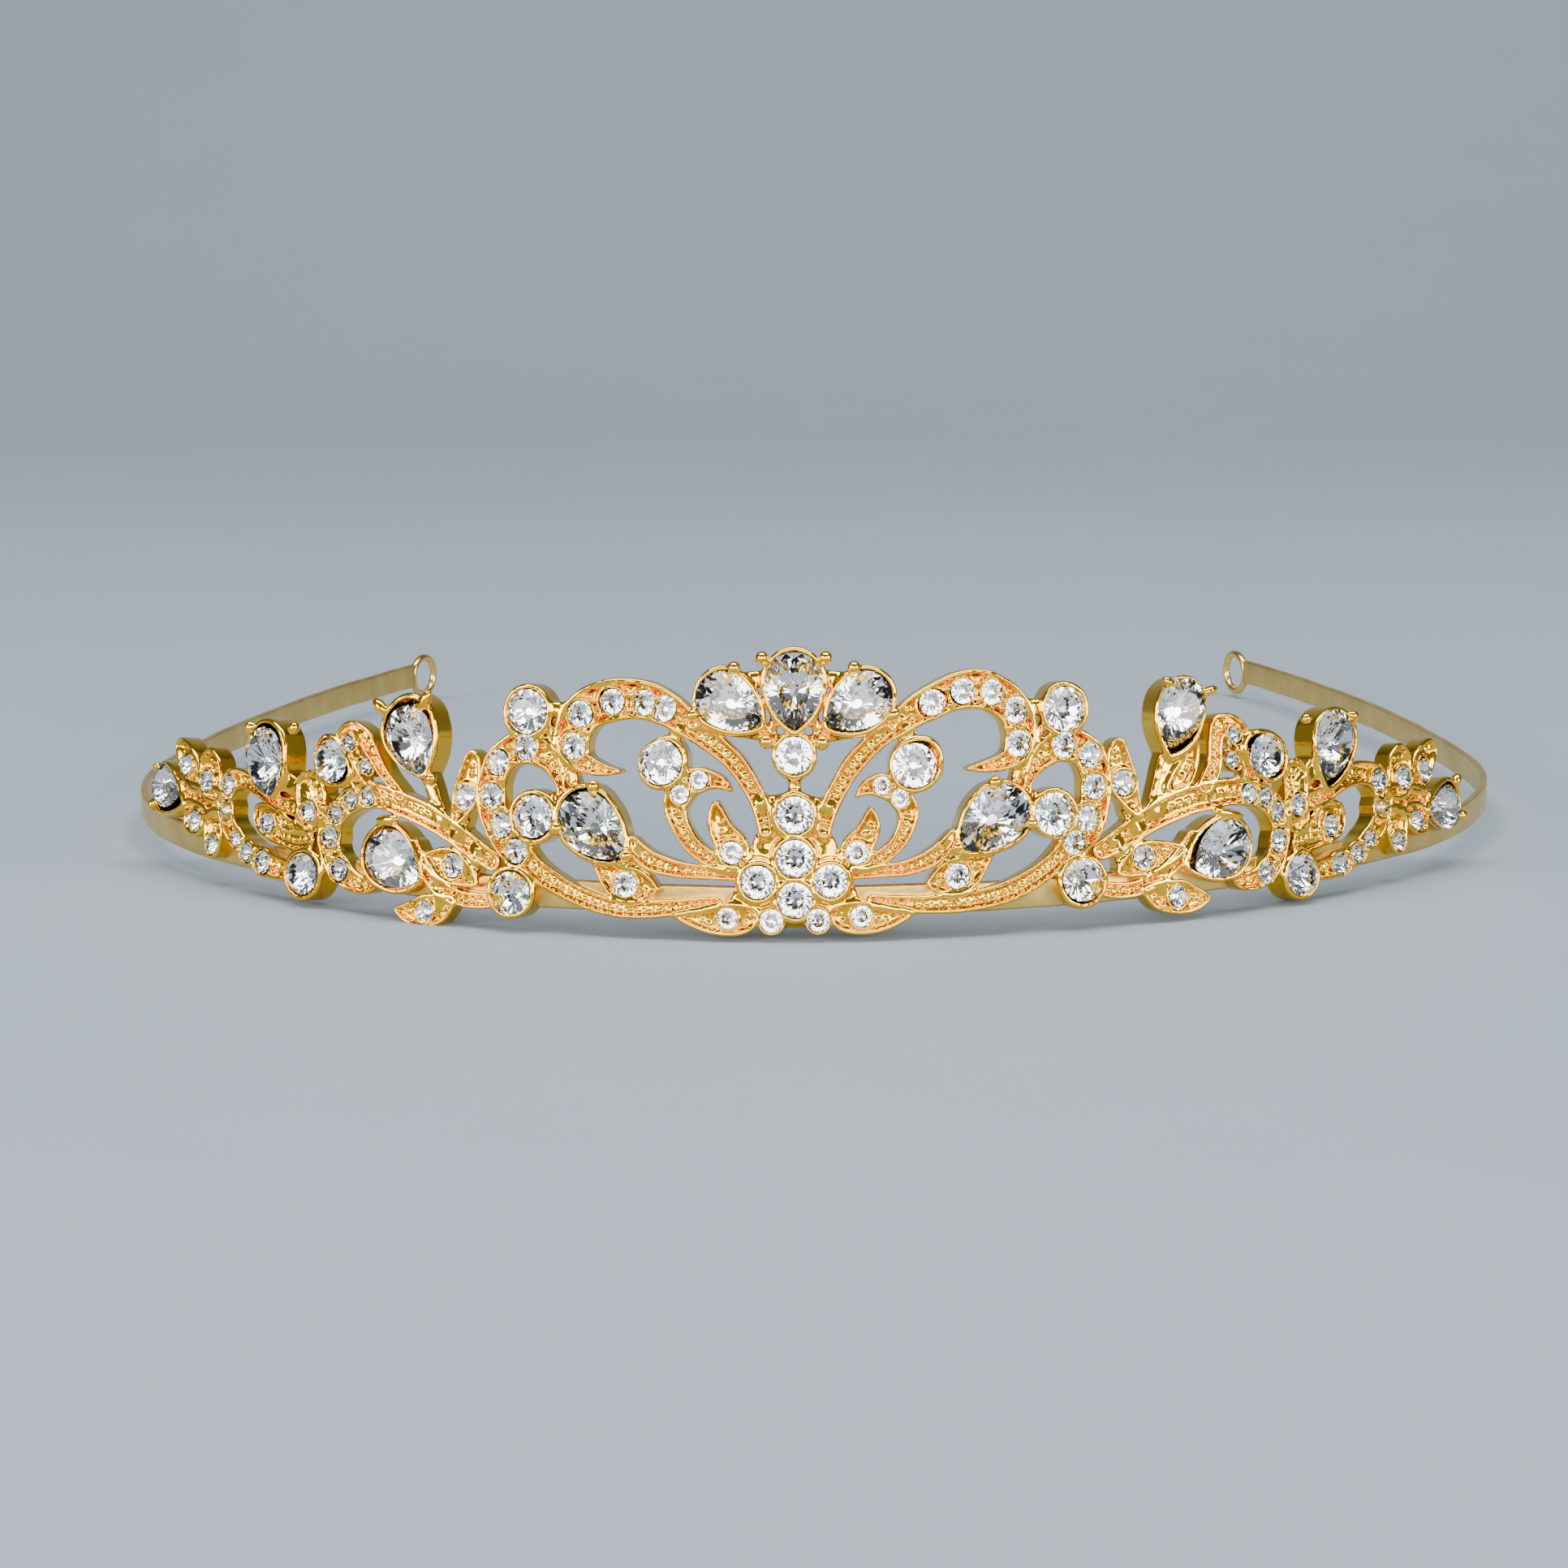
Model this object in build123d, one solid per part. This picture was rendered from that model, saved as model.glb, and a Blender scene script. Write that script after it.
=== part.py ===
from build123d import *
from math import atan2, cos, degrees, exp, sin
import os

# Bridal tiara, millimetres, +Z up, origin at the bottom centre of the ornament's front face.
# The ornament is laid out by u (arc length round the head from the front centre) and w (height).

# Plan curve of the ornament's front face: three tangent arcs on each side
FRONT_RADIUS = 87.1
FRONT_LENGTH = 71.2
SIDE_RADIUS = 56.15
SIDE_LENGTH = 49.8
TAIL_RADIUS = 226.0
LEAN = 0.156
BASE = 0.8

# Headband strip and its end loops
BAND_WIDTH = 3.0
BAND_THICKNESS = 0.8
BAND_SETBACK = 2.3
BAND_BOTTOM = 1.5
BAND_END = 193.9
LOOP_AT = 196.5
LOOP_RADIUS = 2.4
LOOP_HEIGHT = 2.6
LOOP_WIRE = 0.5
LOOP_BORE = 2.0
LOOP_BORE_LENGTH = 0.5

# Castings
BAR_FRONT = 0.3
BAR_BACK = 2.5
FLOOR = 0.95
RIM = 0.48
LEAF_FLOOR = 0.75
CUP_WALL = 0.5
CUP_DEPTH = 3.1
BEZEL_WALL = 0.25
BEZEL_FRONT = 0.5
BEZEL_BACK = 2.2
PRONG = 0.5
TOP = 34.0

# Stones
GIRDLE = 0.25
CROWN = 0.36
TABLE = 0.56
PAVILION = 0.6
CULET = 0.2
SMALL_SETBACK = 0.35

# Round stones: u, w, radius
CREST_DROP = [(0, 17.8, 1.9)]
STEM = [(0, 11.9, 1.9)]
HUB_UPPER = [(0, 7.6, 1.9)]
HUB_LOWER = [(0, 3.5, 1.8)]
HUB_SIDE = [(3.7, 5.3, 1.7), (2.35, 1.4, 1.2)]
SHOULDER = [(28.8, 21.5, 2.3)]
HOOK = [(13.2, 16.8, 2.3)]
INNER = [(27.4, 11.1, 2.2)]
KNUCKLE = [(29.8, 3.8, 2.25)]
UPPER_SIDE = [(52.9, 14.8, 2.3)]
LOWER_SIDE = [(56.0, 2.5, 2.2)]
CENTRE_LEAF = [(6.4, 8.1, 1.15), (6.8, 1.7, 1.1), (17.1, 5.1, 1.3)]
HOOK_CHIPS = [(9.5, 15.0, 0.95), (11.4, 13.6, 0.95)]
UPPER_SCROLL = [(14.1, 22.5, 1.35), (16.9, 23.3, 1.3), (20.2, 23.2, 1.3), (23.2, 21.6, 1.35), (23.6, 18.3, 1.35)]
LOWER_SCROLL = [(28.8, 17.9, 1.3), (31.8, 16.5, 1.3), (32.2, 13.2, 1.3), (31.1, 10.2, 1.3), (29.4, 7.8, 1.25)]
SIDE_LEAF = [(35.4, 13.1, 1.3), (36.8, 5.8, 1.25), (40.2, 1.2, 1.1)]
CURL_CHIPS = [(50.0, 17.1, 0.9), (48.5, 14.7, 0.9)]
SIDE_SCROLL = [(49.1, 11.4, 1.0), (51.3, 10.8, 1.0), (53.0, 9.2, 1.0), (53.2, 6.5, 1.2), (51.4, 3.4, 1.2)]
SMALL_FLOWER = [(56.4, 9.3, 1.15), (61.7, 7.0, 1.15)]
C_SCROLL = [(69.3, 10.4, 1.2), (69.4, 7.7, 1.2), (67.0, 4.8, 0.95), (64.9, 3.6, 1.1), (62.2, 2.9, 1.25)]
END_FLOWER = [(73.6, 10.2, 1.25), (78.2, 10.8, 1.25), (75.3, 5.5, 1.2), (71.4, 3.7, 1.1)]

# Pear stones: u, w of the round end's centre, direction of the tip in degrees, radius, tip distance
CREST_PEAR = [(0, 25.1, -90, 3.0, 4.9)]
SIDE_CREST_PEAR = [(7.5, 23.4, 214, 2.8, 4.9)]
SCROLL_PEAR = [(21.6, 11.3, 220, 3.0, 5.6)]
TALL_PEAR = [(42.7, 19.8, 247, 2.9, 4.9)]
LOW_PEAR = [(45.6, 6.0, 203, 2.95, 4.7)]
REAR_PEAR = [(63.0, 15.1, 250, 2.9, 4.9)]
END_PEAR = [(82.6, 7.1, 186, 2.4, 5.0)]

# Bars of the centre casting: (u, w, width) along the middle of each bar
MAIN_SCROLL = [(3.0, 10.4, 1.6), (3.6, 12.8, 1.9), (4.7, 14.9, 2.0), (6.0, 16.8, 2.1), (7.7, 18.4, 2.2),
               (9.8, 20.0, 2.4), (11.9, 21.4, 3.0), (14.1, 22.6, 3.5), (17.0, 23.5, 3.9), (20.1, 23.3, 4.2),
               (22.9, 21.7, 4.1), (23.8, 18.8, 3.7), (22.6, 16.9, 2.2), (20.5, 16.2, 1.4), (18.3, 16.0, 0.5)]
HOOK_SCROLL = [(5.2, 7.0, 1.5), (7.2, 7.0, 1.6), (9.0, 7.7, 1.7), (10.6, 9.0, 1.8), (11.7, 10.8, 2.0),
               (12.0, 12.5, 2.4), (11.2, 14.0, 2.6), (9.4, 15.0, 2.3), (7.6, 14.8, 1.4), (6.5, 14.0, 0.4)]
UPPER_BAR = [(4.5, 6.0, 1.4), (9.0, 6.2, 1.4), (12.0, 6.5, 1.7), (14.8, 7.5, 2.0), (16.6, 9.2, 1.4)]
LOWER_SCROLL_BAR = [(24.3, 13.0, 0.6), (25.0, 15.2, 1.4), (26.4, 17.0, 2.6), (28.9, 18.0, 3.4), (31.5, 16.6, 3.4),
                    (32.4, 13.4, 3.4), (31.4, 10.1, 3.4), (29.3, 7.7, 3.3), (26.9, 5.9, 2.4), (24.0, 4.3, 2.2),
                    (21.0, 3.2, 2.1), (17.5, 2.6, 2.0), (14.0, 2.6, 1.9), (10.5, 2.9, 1.6), (8.0, 3.2, 1.4)]
LINKS = [[(9.6, 20.6, 1.0), (3.4, 19.6, 1.0)], [(11.9, 19.9, 1.6), (12.8, 18.6, 1.6)],
         [(25.0, 21.9, 1.6), (26.9, 21.8, 1.6)], [(25.0, 17.6, 1.0), (26.6, 20.2, 1.0)],
         [(22.8, 13.4, 1.4), (25.2, 13.0, 1.4)], [(23.2, 14.0, 1.2), (24.2, 17.4, 1.2)],
         [(24.0, 11.2, 1.4), (25.8, 11.2, 1.4)], [(1.2, 13.2, 1.5), (3.6, 12.8, 1.5)],
         [(1.7, 22.4, 1.0), (2.8, 19.2, 1.0)], [(2.6, 25.4, 1.6), (5.6, 25.2, 1.6)],
         [(16.6, 8.8, 1.6), (17.2, 6.2, 1.4)], [(29.3, 7.6, 1.8), (29.7, 5.6, 1.8)],
         [(2.8, 19.9, 1.0), (1.4, 19.1, 1.0)], [(4.4, 6.0, 2.0), (6.2, 2.2, 2.0)]]
STEM_BAR = [(0, 16.6, 1.3), (0, 13.0, 1.3)]

# Leaves of the centre casting, as closed outlines
UP_LEAF = [(4.6, 6.6), (4.9, 9.3), (6.4, 10.9), (8.0, 13.0), (8.9, 11.0), (8.2, 8.5), (7.4, 7.0)]
LOW_LEAF = [(3.6, 2.6), (6.5, 3.3), (9.6, 2.7), (12.3, 1.9), (9.4, 0.3), (6.2, -0.1), (4.0, 0.7)]
RIM_LEAF = [(13.6, 4.6), (15.4, 6.6), (17.6, 7.1), (20.5, 7.3), (20.2, 5.8), (18.9, 4.0), (17.2, 3.2), (15.2, 3.4)]
HUB = [(0, 11.0), (3.4, 10.4), (4.6, 8.2), (5.0, 5.4), (4.2, 2.2), (0, 0.7), (-4.2, 2.2), (-5.0, 5.4), (-4.6, 8.2),
       (-3.4, 10.4)]

# Bars and leaves of the side casting
SIDE_BAR = [(32.2, 6.7, 2.0), (34.3, 7.7, 2.4), (37.5, 9.4, 2.6), (41.0, 10.7, 2.8), (44.5, 11.4, 2.8),
            (47.5, 11.7, 2.8), (50.3, 11.2, 2.8), (52.6, 9.5, 2.8), (53.4, 6.9, 2.8), (52.2, 4.2, 2.7),
            (50.1, 2.8, 2.4), (47.9, 2.5, 1.7), (46.2, 3.1, 0.5)]
SIDE_RIM = [(31.2, 3.0, 1.4), (33.5, 2.6, 1.7), (36.0, 2.7, 1.7), (38.5, 3.7, 1.8), (40.6, 5.4, 1.8), (42.0, 7.4, 1.4)]
CURL = [(44.2, 12.4, 1.6), (46.0, 14.4, 1.7), (46.9, 16.3, 1.9), (48.0, 17.9, 2.3), (49.9, 17.9, 2.7),
        (51.1, 16.6, 2.0), (50.5, 14.9, 1.7), (50.1, 12.4, 1.7)]
SIDE_LINKS = [[(38.6, 10.4, 1.8), (40.0, 13.8, 1.8), (41.0, 16.0, 1.8)], [(53.3, 8.0, 1.8), (56.0, 8.4, 2.0)],
              [(52.3, 4.2, 1.8), (54.4, 3.2, 1.8)], [(57.2, 11.0, 2.2), (60.4, 12.6, 2.2)],
              [(35.6, 10.6, 1.4), (36.6, 8.6, 1.4)], [(34.6, 5.0, 1.4), (34.0, 7.6, 1.4)],
              [(39.0, 4.4, 1.4), (38.6, 2.2, 1.4)]]
SIDE_UP_LEAF = [(36.9, 9.8), (35.0, 11.0), (33.8, 12.8), (33.5, 15.0), (34.0, 17.2), (35.4, 17.7), (36.4, 15.4), (37.0, 12.8)]
SIDE_MID_LEAF = [(33.6, 4.4), (35.6, 7.0), (38.2, 7.5), (41.2, 6.4), (39.5, 4.6), (37.2, 3.9), (35.0, 3.8)]
SIDE_LOW_LEAF = [(36.4, 2.7), (37.3, 0.5), (39.6, -0.5), (42.2, -0.4), (44.0, 0.9), (42.2, 2.1), (40.2, 3.0)]
FLOWER_LEAF = [(55.0, 7.0), (54.3, 9.6), (54.4, 12.0), (55.6, 13.6), (57.2, 13.7), (58.2, 12.4), (58.0, 9.6), (57.8, 7.0)]
FLOWER_TONGUE = [(55.2, 6.4), (58.6, 8.2), (61.6, 9.3), (63.7, 8.8), (63.8, 6.8), (62.2, 5.4), (59.0, 4.7), (56.0, 4.6)]
C_BAR = [(58.2, 9.4, 1.8), (61.4, 10.0, 1.8), (64.0, 10.9, 1.9), (66.6, 11.4, 2.3), (69.0, 10.7, 2.8), (69.9, 8.6, 2.7),
         (68.9, 6.3, 2.6), (66.9, 4.8, 2.4), (64.6, 3.6, 2.5), (62.0, 2.9, 2.7), (59.6, 2.6, 2.4), (57.4, 2.6, 1.8)]

# Bars and leaves of the end flower casting
END_STEM = [(70.3, 8.6, 2.2), (73.0, 8.0, 3.2), (76.2, 7.6, 3.4), (79.0, 7.4, 3.0)]
END_LEAF_A = [(70.9, 8.4), (70.7, 10.6), (71.6, 12.8), (73.6, 13.8), (75.2, 12.6), (75.0, 10.2), (73.6, 8.2)]
END_LEAF_B = [(74.6, 8.8), (75.6, 11.2), (77.2, 13.0), (80.2, 13.7), (81.4, 12.4), (79.8, 10.4), (77.4, 8.6)]
END_LEAF_C = [(70.9, 7.6), (69.6, 5.4), (70.2, 3.1), (71.9, 2.3), (73.0, 4.2), (73.2, 6.6)]
END_LEAF_D = [(73.2, 7.2), (73.4, 5.0), (75.2, 3.9), (77.2, 4.4), (77.4, 6.4), (76.6, 7.4)]

# The sides were set by hand: near each (u, w) the right side stands off by (du, dw), the left side the other way
BEND_REACH = 5.0
BENDS = [(6.5, 3.5, -0.1, 0.1), (13, 17, -0.9, -0.2), (17.5, 23, 1.1, 0.5), (7, 14, 0, -0.3), (20, 10, -0.2, 0.4),
         (17, 4, -0.4, 0.3), (29, 13, -0.3, -0.1), (30, 4, 0, 0.6), (35, 14, -0.3, 0.6), (42.5, 19, -0.1, 1.4),
         (45, 6, 0.9, 0.3), (40, 1, 0.2, 0.6), (50, 17, -1.6, 0.2), (49.5, 12, 1.4, -0.2), (53, 6, 0, -0.5),
         (56.5, 10, 0.3, 0.4), (62.5, 14.5, -0.4, 0.8), (62.5, 7, -0.7, -0.4), (82, 7.5, -1.1, -1.3)]


def plan_point(u):
    """Point and heading of the plan curve at arc length u, right of the front centre if positive."""
    side = -1.0 if u < 0 else 1.0
    x = 0.0
    y = 0.0
    heading = 0.0
    left = abs(u)
    for length, radius in ((FRONT_LENGTH, FRONT_RADIUS), (SIDE_LENGTH, SIDE_RADIUS), (300.0, TAIL_RADIUS)):
        turn = min(left, length) / radius
        x += radius * (sin(heading + turn) - sin(heading))
        y += radius * (cos(heading) - cos(heading + turn))
        heading += turn
        left -= length
        if left <= 0:
            break
    return side * x, y, side * heading


def bent(u, w):
    """Where hand setting moved the point (u, w); u is negative on the left side."""
    side = -1.0 if u < 0 else 1.0
    new_u = abs(u)
    new_w = w
    for at_u, at_w, du, dw in BENDS:
        pull = exp(-((abs(u) - at_u) ** 2 + (w - at_w) ** 2) / BEND_REACH ** 2) * min(abs(u) / 3, 1)
        new_u += side * du * pull
        new_w += side * dw * pull
    return side * new_u, new_w


def front_point(u, w):
    """Point of the leaning front face and its heading."""
    new_u, new_w = bent(u, w)
    x, y, heading = plan_point(new_u)
    inward = LEAN * new_w
    return x - inward * sin(heading), y + inward * cos(heading), new_w + BASE, heading


def spot(u, w, turn=0.0, depth=0.0):
    """Location on the leaning front face, +Z outward, turned about the outward direction."""
    x, y, z, heading = front_point(u, w)
    face = Plane(origin=(x, y, z), x_dir=(cos(heading), sin(heading), 0), z_dir=(sin(heading), -cos(heading), LEAN))
    return face.location * Pos(0, 0, -depth) * Rot(0, 0, turn)


def flat_point(u, w, middle):
    """The point (u, w) of the front face seen square on from heading `middle`."""
    x, y, z, heading = front_point(u, w)
    return Vector(x * cos(middle) + y * sin(middle), z)


def bar(points, middle, trim=0.0):
    """Flat outline of a bar of changing width that follows the given points."""
    if trim:
        points = [p for p in points if p[2] > 2 * trim + 0.35]
    if len(points) < 2:
        return None
    mids = [flat_point(u, w, middle) for u, w, width in points]
    low = []
    high = []
    for i, mid in enumerate(mids):
        ahead = mids[min(i + 1, len(mids) - 1)] - mids[max(i - 1, 0)]
        side = Vector(-ahead.Y, ahead.X).normalized() * (points[i][2] / 2 - trim)
        low.append(mid - side)
        high.append(mid + side)
    if len(points) == 2:
        sides = [Line(low[0], low[1]), Line(high[1], high[0])]
    else:
        sides = [Spline(*low), Spline(*reversed(high))]
    caps = [Line(low[-1], high[-1]), Line(high[0], low[0])]
    return make_face([sides[0], caps[0], sides[1], caps[1]])


def leaf(points, middle, share=1.0):
    """Flat leaf outline through the given points, optionally shrunk about its middle."""
    corners = [flat_point(u, w, middle) for u, w in points]
    centre = sum(corners, Vector(0, 0)) / len(corners)
    corners = [centre + (c - centre) * share for c in corners]
    return make_face([Spline(*corners, periodic=True)])


def shell(start, end, front, back):
    """Sector of the leaning wall between two depths behind the front face."""
    far = end if end > -start else start
    x, y, heading = plan_point(far)
    radius = FRONT_RADIUS if abs(far) < FRONT_LENGTH + 2 else SIDE_RADIUS
    axis_x = x - radius * sin(heading)
    axis_y = y + radius * cos(heading)
    heading = plan_point(start)[2]
    inward = (-cos(heading), -sin(heading), 0)
    wall = Plane(origin=(axis_x, axis_y, 0), x_dir=(sin(heading), -cos(heading), 0), z_dir=inward)
    low = radius + LEAN * (1 + BASE)
    high = radius - LEAN * (TOP - BASE)
    profile = [(low - front, -1), (high - front, TOP), (high - back, TOP), (low - back, -1)]
    face = wall * make_face(Polyline(*profile, close=True))
    return revolve(face, Axis((axis_x, axis_y, 0), (0, 0, 1)), degrees((end - start) / radius))


def rebate(start, end):
    """Step in the back of a casting that the headband strip is soldered into."""
    far = end if end > -start else start
    x, y, heading = plan_point(far)
    radius = FRONT_RADIUS if abs(far) < FRONT_LENGTH + 2 else SIDE_RADIUS
    centre = (x - radius * sin(heading), y + radius * cos(heading), BASE + BAND_BOTTOM + BAND_WIDTH / 2)
    return Pos(*centre) * Cylinder(radius - BAND_SETBACK, BAND_WIDTH)


def slab(outlines, middle):
    """Prism through the flat outlines, square to heading `middle`."""
    faces = [f for f in outlines if f is not None]
    sketch = faces[0]
    for face in faces[1:]:
        sketch = sketch + face
    view = Plane(origin=(0, 0, 0), x_dir=(cos(middle), sin(middle), 0), z_dir=(sin(middle), -cos(middle), 0))
    return extrude(view * sketch, 100, both=True)


def round_stone(radius):
    """Foil-backed round stone with its girdle at z = 0."""
    profile = [(0, CROWN * radius), (TABLE * radius, CROWN * radius), (radius, 0), (radius, -GIRDLE),
               (CULET * radius, -GIRDLE - PAVILION * radius), (0, -GIRDLE - PAVILION * radius)]
    return revolve(Plane.XZ * make_face(Polyline(*profile, close=True)), Axis.Z, 360)


def pear_outline(radius, reach, grow=0.0, share=1.0):
    """Pear outline with its round end at the origin and its tip towards +X."""
    r = (radius + grow) * share
    tip = (reach + 1.5 * grow) * share
    flank = (r * r + tip * tip) / (2 * r)
    half = atan2(tip, flank - r) / 2
    bulge = (flank * sin(half), flank * cos(half) - flank + r)
    upper = ThreePointArc((0, r), bulge, (tip, 0))
    lower = ThreePointArc((tip, 0), (bulge[0], -bulge[1]), (0, -r))
    end = ThreePointArc((0, -r), (-r, 0), (0, r))
    return make_face([upper, lower, end])


def pear_stone(radius, reach):
    """Foil-backed pear stone with its girdle at z = 0 and its tip towards +X."""
    girdle = pear_outline(radius, reach)
    table = Pos(0, 0, CROWN * radius) * pear_outline(radius, reach, share=TABLE)
    culet = Pos(0, 0, -GIRDLE - PAVILION * radius) * pear_outline(radius, reach, share=CULET)
    middle = extrude(girdle, -GIRDLE)
    upper = loft([girdle, table], ruled=True)
    lower = loft([Pos(0, 0, -GIRDLE) * girdle, culet], ruled=True)
    return middle + upper + lower


def setback(radius):
    """Small stones sit lower, between the rims of their bar."""
    return 0.0 if radius > 1.6 else SMALL_SETBACK


def round_cups(stones):
    """Cup or bezel round each round stone."""
    cups = []
    for u, w, radius in stones:
        if radius > 1.6:
            cups.append(spot(u, w, depth=CUP_DEPTH / 2) * Cylinder(radius + CUP_WALL, CUP_DEPTH))
        else:
            height = BEZEL_BACK - BEZEL_FRONT
            cups.append(spot(u, w, depth=BEZEL_FRONT + height / 2) * Cylinder(radius + BEZEL_WALL, height))
    return cups


def round_seats(stones):
    """Space each round stone fills, open to the front."""
    seats = []
    for u, w, radius in stones:
        deep = GIRDLE + PAVILION * radius
        seats.append(spot(u, w, depth=setback(radius) + deep - 3.0) * Cylinder(radius, 6.0))
    return seats


def pear_cup(u, w, tip, radius, reach):
    """Deep cup round a pear stone with three prongs."""
    cup = extrude(pear_outline(radius, reach, CUP_WALL), -CUP_DEPTH)
    for angle in (60, 180, 300):
        cup += Rot(0, 0, angle) * Pos(radius + 0.35, 0, -0.6) * Cylinder(PRONG, 2.4)
    return spot(u, w, tip) * cup


def pear_seat(u, w, tip, radius, reach):
    """Space a pear stone fills, open to the front."""
    deep = GIRDLE + PAVILION * radius
    return spot(u, w, tip, deep) * extrude(pear_outline(radius, reach), 6.0)


def left_side(items):
    """The same stones, bars or outlines on the left side."""
    turned = []
    for item in items:
        if isinstance(item, list):
            turned.append(left_side(item))
        elif len(item) == 5:
            turned.append((-item[0], item[1], 180 - item[2], item[3], item[4]))
        else:
            turned.append((-item[0],) + item[1:])
    return turned


def both_sides(items):
    return items + left_side(items)


def remove(body, tools):
    return body.cut(*[s for t in tools for s in t.solids()])


def add(body, tools):
    return body.fuse(*[s for t in tools for s in t.solids()])


def biggest(shape):
    """The casting without the loose crumbs its cuts leave."""
    return max(shape.solids(), key=lambda s: s.volume)


def casting(start, end, bars, leaves, rounds, pears, others):
    """One casting: bars with raised rims, leaves and cups, with a seat cut for every stone."""
    middle = plan_point((start + end) / 2)[2]
    outlines = [bar(b, middle) for b in bars] + [leaf(f, middle) for f in leaves]
    floors = [bar(b, middle, RIM) for b in bars]
    hollows = [leaf(f, middle, 0.62) for f in leaves]
    cups = round_cups(rounds) + [pear_cup(*p) for p in pears]
    seats = round_seats(rounds) + [pear_seat(*p) for p in pears]
    body = slab(outlines, middle) & shell(start, end, BAR_FRONT, BAR_BACK)
    trough = slab(floors, middle) & shell(start, end, -1.0, FLOOR)
    dish = slab(hollows, middle) & shell(start, end, -1.0, LEAF_FLOOR)
    body = add(remove(body, [trough, dish]), cups)
    ground = Pos(0, 100, -10) * Box(400, 400, 20)
    body = remove(body, seats + [ground])
    return biggest(remove(body, [rebate(start, end)] + others))


def headband():
    """Flat strip behind the castings, and the two wire loops at its ends."""
    back = BAND_SETBACK + BAND_THICKNESS
    outer = []
    inner = []
    for u in (0, FRONT_LENGTH / 2, FRONT_LENGTH, FRONT_LENGTH + SIDE_LENGTH / 2, FRONT_LENGTH + SIDE_LENGTH,
              (FRONT_LENGTH + SIDE_LENGTH + BAND_END) / 2, BAND_END):
        x, y, heading = plan_point(u)
        outer.append((x - BAND_SETBACK * sin(heading), y + BAND_SETBACK * cos(heading)))
        inner.append((x - back * sin(heading), y + back * cos(heading)))
    edges = []
    for line in (outer, inner):
        for i in (0, 2, 4):
            edges.append(ThreePointArc(line[i], line[i + 1], line[i + 2]))
    edges.append(Line(outer[0], inner[0]))
    edges.append(Line(outer[-1], inner[-1]))
    half = Pos(0, 0, BASE + BAND_BOTTOM) * extrude(make_face(edges), BAND_WIDTH)
    strip = half + mirror(half, Plane.YZ)
    x, y, heading = plan_point(LOOP_AT)
    mid = BAND_SETBACK + BAND_THICKNESS / 2
    centre = (x - mid * sin(heading), y + mid * cos(heading), BASE + LOOP_HEIGHT)
    flat = Plane(origin=centre, x_dir=(cos(heading), sin(heading), 0), z_dir=(sin(heading), -cos(heading), 0))
    loop = flat.location * (Torus(LOOP_RADIUS, LOOP_WIRE) - Cylinder(LOOP_BORE, LOOP_BORE_LENGTH))
    bore = flat.location * Cylinder(LOOP_BORE, 4)
    loop = loop - bore
    other = mirror(loop, Plane.YZ)
    strip = strip - loop - other - bore - mirror(bore, Plane.YZ)
    return strip, loop, other


def save(name, shapes):
    """Write one node as its own file."""
    solids = [s for shape in shapes for s in shape.solids()]
    body = solids[0] if len(solids) == 1 else Compound(children=solids)
    body.label = name
    export_step(body, "parts/" + name + ".step")
    print(name, len(solids), round(sum(s.volume for s in solids), 2))


def save_pair(name, make, stones):
    save(name + "_right", [make(s) for s in stones])
    save(name + "_left", [make(s) for s in left_side(stones)])


def set_round(stone):
    u, w, radius = stone
    return spot(u, w, depth=setback(radius)) * round_stone(radius)


def set_pear(stone):
    u, w, tip, radius, reach = stone
    return spot(u, w, tip) * pear_stone(radius, reach)


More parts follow.
